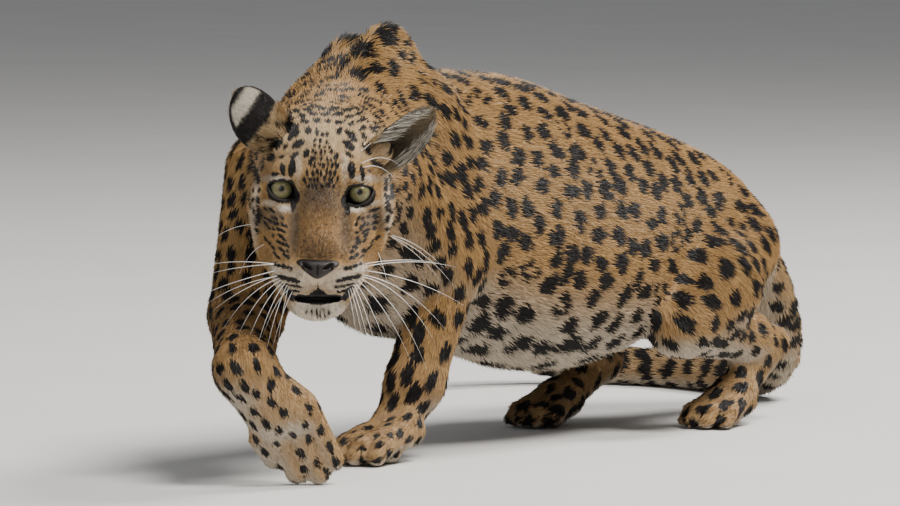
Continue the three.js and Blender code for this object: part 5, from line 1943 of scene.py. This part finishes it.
def ear_coat(name, ear, tree, rng):
    """All the hair of one ear, unwrapped with its back on one half and the rest on the other."""
    parts = [ear_hair(ear, rng, False, BACK_HAIRS, 5.5), ear_hair(ear, rng, True, CUP_HAIRS, 9.0),
             ear_fringe(ear, rng), ear_fluff(ear, rng)]
    p, lie, out, length, tint = (np.concatenate([part[k] for part in parts]) for k in range(5))
    width = 0.5 + 0.03 * length
    q = in_head(p)[:, :2]
    unwrap = (q - q.min(0)) / np.ptp(q, axis=0)
    unwrap[:, 0] = unwrap[:, 0] * 0.48 + np.where(np.arange(len(p)) >= BACK_HAIRS, 0.51, 0.01)
    unwrap[:, 1] = 0.01 + 0.98 * unwrap[:, 1]
    tufts("hair_" + name, dict(p=p, lie=lie, out=out, tint=tint, unwrap=unwrap,
                               size=np.stack([width * 0.4, width, length], 1)), tree)


# Whiskers

def strand_tree():
    """A tapered strand along each line of points."""
    tree = bpy.data.node_groups.new("strands", "GeometryNodeTree")
    start, end = ways_in_and_out(tree, ("Thickness", "Float", 1.0),
                                 ("Finish", "Material", finishes()["whisker"]))
    ring = node(tree, "GeometryNodeCurvePrimitiveCircle")
    ring.inputs["Resolution"].default_value = 5
    sweep = node(tree, "GeometryNodeCurveToMesh")
    sweep.inputs["Fill Caps"].default_value = True
    taper = node(tree, "GeometryNodeInputRadius")
    tree.links.new(taper.outputs["Radius"], sweep.inputs["Scale"])
    tree.links.new(start.outputs["Geometry"], sweep.inputs["Curve"])
    tree.links.new(start.outputs["Thickness"], ring.inputs["Radius"])
    tree.links.new(ring.outputs["Curve"], sweep.inputs["Profile Curve"])
    dress(tree, realized(tree, sweep.outputs["Mesh"]), start, end)
    return tree


def strands(name, lines):
    """A piece of strands: each line is its points and its radius at each, in millimetres."""
    curve = bpy.data.curves.new(name + "_lines", "CURVE")
    curve.dimensions = "3D"
    for points, radii in lines:
        spline = curve.splines.new("POLY")
        spline.points.add(len(points) - 1)
        for point, place, radius in zip(spline.points, to_frame(points), radii):
            point.co = (*place, 1)
            point.radius = radius * MM
    obj = bpy.data.objects.new(name + "_lines", curve)
    bpy.context.scene.collection.objects.link(obj)
    mesh = evaluated(obj, strand_tree())
    mesh.name = name
    mesh.shade_smooth()
    piece = add_object(name, mesh, finishes()["whisker"])
    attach(piece, BODY)


# In the viewing plane: root across and up, tip across and up, and sag. Left and right are the picture's
WHISKERS_LEFT = [
    ((-49, -80), (-135, -83), 4), ((-49, -80), (-128, -92), 2), ((-48, -87), (-150, -122), 2),
    ((-47, -92), (-120, -132), 3), ((-46, -93), (-132, -128), 5), ((-44, -95), (-108, -152), 8),
    ((-42, -97), (-95, -168), 10), ((-40, -99), (-84, -176), 9), ((-38, -100), (-72, -180), 8),
    ((-36, -102), (-60, -178), 5), ((-35, -104), (-47, -168), 3), ((-33, -106), (-64, -160), 7),
    ((-30, -108), (-54, -176), 4),
]
WHISKERS_RIGHT = [
    ((47, -80), (128, -79), 4), ((47, -83), (150, -84), 6), ((48, -87), (160, -128), 6),
    ((47, -92), (136, -152), 10), ((45, -94), (126, -168), 14), ((43, -96), (116, -196), 16),
    ((41, -98), (98, -186), 8), ((38, -100), (72, -172), 6), ((36, -102), (62, -180), 5),
    ((34, -104), (54, -176), 4), ((32, -106), (46, -162), 3), ((30, -108), (38, -150), 2),
]
CHEEK_HAIRS = [
    ((-75, -36), (-128, -58), 5), ((-76, -38), (-120, -72), 3), ((-62, -58), (-92, -92), 6),
    ((74, -47), (138, -88), 6), ((75, -49), (132, -100), 4), ((73, -48), (150, -110), 8),
    ((62, -66), (74, -108), 3), ((-14, -84), (-20, -102), 1),
    ((44, 30), (90, 26), 9), ((46, 26), (84, 10), 8), ((43, 44), (64, 66), -2),
]
WHISKER_STEPS = 22
WHISKER_RADIUS = 0.44
HAIR_RADIUS = 0.36
SWEEP_BACK = 0.72          # how far a whisker goes back for each part that it goes out


def whisker(root, tip, sag, radius):
    """A whisker's points and radii: out from its root, swept back from the face, bowed by its sag."""
    place = pelt().face_place(*root)
    out = []
    reach = np.array([tip[0] - root[0], tip[1] - root[1]])
    for i in range(WHISKER_STEPS + 1):
        t = i / WHISKER_STEPS
        a = root[0] + reach[0] * (t + 0.12 * t * (1 - t))
        b = root[1] + reach[1] * t + sag * 4 * t * (1 - t)
        back = SWEEP_BACK * abs(reach[0]) * t * (0.55 + 0.45 * t) - 10 * t * (1 - t)
        out.append(place + (a - root[0]) * VIEW[0] + (b - root[1]) * VIEW[1] - back * VIEW[2])
    out = np.array(out)
    out[0] -= VIEW[2] * 2
    radii = radius * (1 - 0.92 * np.linspace(0, 1, WHISKER_STEPS + 1) ** 1.3)
    return out, radii


def make_whiskers():
    strands("whiskers", [whisker(*w, WHISKER_RADIUS) for w in WHISKERS_LEFT + WHISKERS_RIGHT])
    strands("cheek_and_brow_hairs", [whisker(*w, HAIR_RADIUS) for w in CHEEK_HAIRS])


# Stage

FLOOR_HALF = 60.0
AIM_HEIGHT = 0.25

# Lamps: name, azimuth and elevation in degrees, distance and size in m, power in W, colour
LAMPS = (
    ("key", (82, 56), 6.0, 2.4, 520, (1.0, 0.965, 0.91)),
    ("rim", (160, 48), 6.0, 2.0, 430, (1.0, 0.97, 0.93)),
    ("front", (15, 24), 6.5, 4.0, 85, (0.95, 0.975, 1.0)),
)


def lay_floor():
    half = FLOOR_HALF
    ground = bpy.data.meshes.new("floor")
    corners = [(-half, -half, 0), (half, -half, 0), (half, half, 0), (-half, half, 0)]
    ground.from_pydata(corners, [], [(0, 1, 2, 3)])
    made, tree, shader = material("pale floor")
    blend_colours(tree, shader, object_noise(tree, 3), (0.58, 0.57, 0.55), (0.64, 0.63, 0.61))
    set_gloss(shader, 0.8)
    floor = add_object("floor", ground, made)


def hang_lamp(name, angles, distance, size, power, colour):
    low, high = CAD_BOX
    lamp = bpy.data.lights.new(name, "AREA")
    lamp.shape = "DISK"
    lamp.size = size
    lamp.energy = power * bpy.context.scene.leopard.key
    lamp.color = colour
    obj = bpy.data.objects.new(name, lamp)
    bpy.context.scene.collection.objects.link(obj)
    a, e = (math.radians(angle) for angle in angles)
    back = Vector((math.sin(a) * math.cos(e), -math.cos(a) * math.cos(e), math.sin(e)))
    obj.location = Vector(((low[0] + high[0]) / 2, (low[1] + high[1]) / 2, AIM_HEIGHT)) + back * distance
    obj.rotation_euler = back.to_track_quat("Z", "Y").to_euler()


def make_stage():
    lay_floor()
    for lamp in LAMPS:
        hang_lamp(*lamp)
    world = bpy.data.worlds.new("studio")
    world.use_nodes = True
    sky = world.node_tree.nodes["Background"].inputs
    sky[0].default_value = (0.86, 0.88, 0.92, 1)
    sky[1].default_value = bpy.context.scene.leopard.fill
    bpy.context.scene.world = world


def make_camera():
    camera = bpy.data.cameras.new("camera")
    camera.lens = CAMERA_LENS
    camera.sensor_width = 36
    camera.clip_end = 100
    obj = bpy.data.objects.new("camera", camera)
    bpy.context.scene.collection.objects.link(obj)
    across, back = math.sin(VIEW_TURN), math.cos(VIEW_TURN)
    obj.location = to_frame([CAMERA_DISTANCE * across, -CAMERA_DISTANCE * back, CAMERA_HEIGHT])
    obj.rotation_euler = (math.radians(90) - VIEW_DROP, 0, VIEW_TURN)
    bpy.context.scene.camera = obj


# The add-on: sizes that a user may change, one operator for each kind of piece, and a panel

class LeopardProperties(bpy.types.PropertyGroup):
    fullness: bpy.props.FloatProperty(
        name="Fullness", description="Tufts, as a share of the full coat", default=1.0, min=0.05, max=1.2,
        subtype="FACTOR")
    key: bpy.props.FloatProperty(
        name="Light", description="Strength of the studio lights", default=1.0, min=0, subtype="FACTOR")
    fill: bpy.props.FloatProperty(
        name="Fill", description="Strength of the light from all round", default=0.3, min=0, subtype="FACTOR")


def operator(name, label, text, work):
    """One step of the leopard as an operator of its own."""
    def execute(self, context):
        work()
        return {"FINISHED"}
    return type("LEOPARD_OT_" + name, (bpy.types.Operator,), {
        "bl_idname": "leopard." + name, "bl_label": label, "__doc__": text, "execute": execute})


OPERATORS = [
    operator("camera", "Camera", "Sets the camera at the viewing angle", make_camera),
    operator("skin", "Skin", "Makes the skin with its lids and mouth", make_skin),
    operator("coat", "Coat", "Sets the tufts of the coat on the skin", make_coat),
    operator("eyes", "Eyes", "Makes the eyes and the rims of the lids", make_eyes),
    operator("nose", "Nose", "Makes the nose pad with its nostrils", make_nose),
    operator("ears", "Ears", "Makes the ears and their hair", make_ears),
    operator("whiskers", "Whiskers", "Sets the whiskers and the long hairs of cheek and brow", make_whiskers),
    operator("stage", "Stage", "Lays the floor and hangs the lights", make_stage),
]


class LEOPARD_PT_panel(bpy.types.Panel):
    """Sizes and steps of the leopard's looks"""
    bl_label = "Leopard"
    bl_space_type = "VIEW_3D"
    bl_region_type = "UI"
    bl_category = "Leopard"

    def draw(self, context):
        for name in ("fullness", "key", "fill"):
            self.layout.prop(context.scene.leopard, name)
        for made in OPERATORS:
            self.layout.operator(made.bl_idname)


CLASSES = [LeopardProperties, *OPERATORS, LEOPARD_PT_panel]


def register():
    for made in CLASSES:
        bpy.utils.register_class(made)
    bpy.types.Scene.leopard = bpy.props.PointerProperty(type=LeopardProperties)


def unregister():
    del bpy.types.Scene.leopard
    for made in reversed(CLASSES):
        bpy.utils.unregister_class(made)


def main():
    register()
    for made in OPERATORS:
        getattr(bpy.ops.leopard, made.bl_idname.split(".")[1])()


if __name__ == "__main__":
    main()
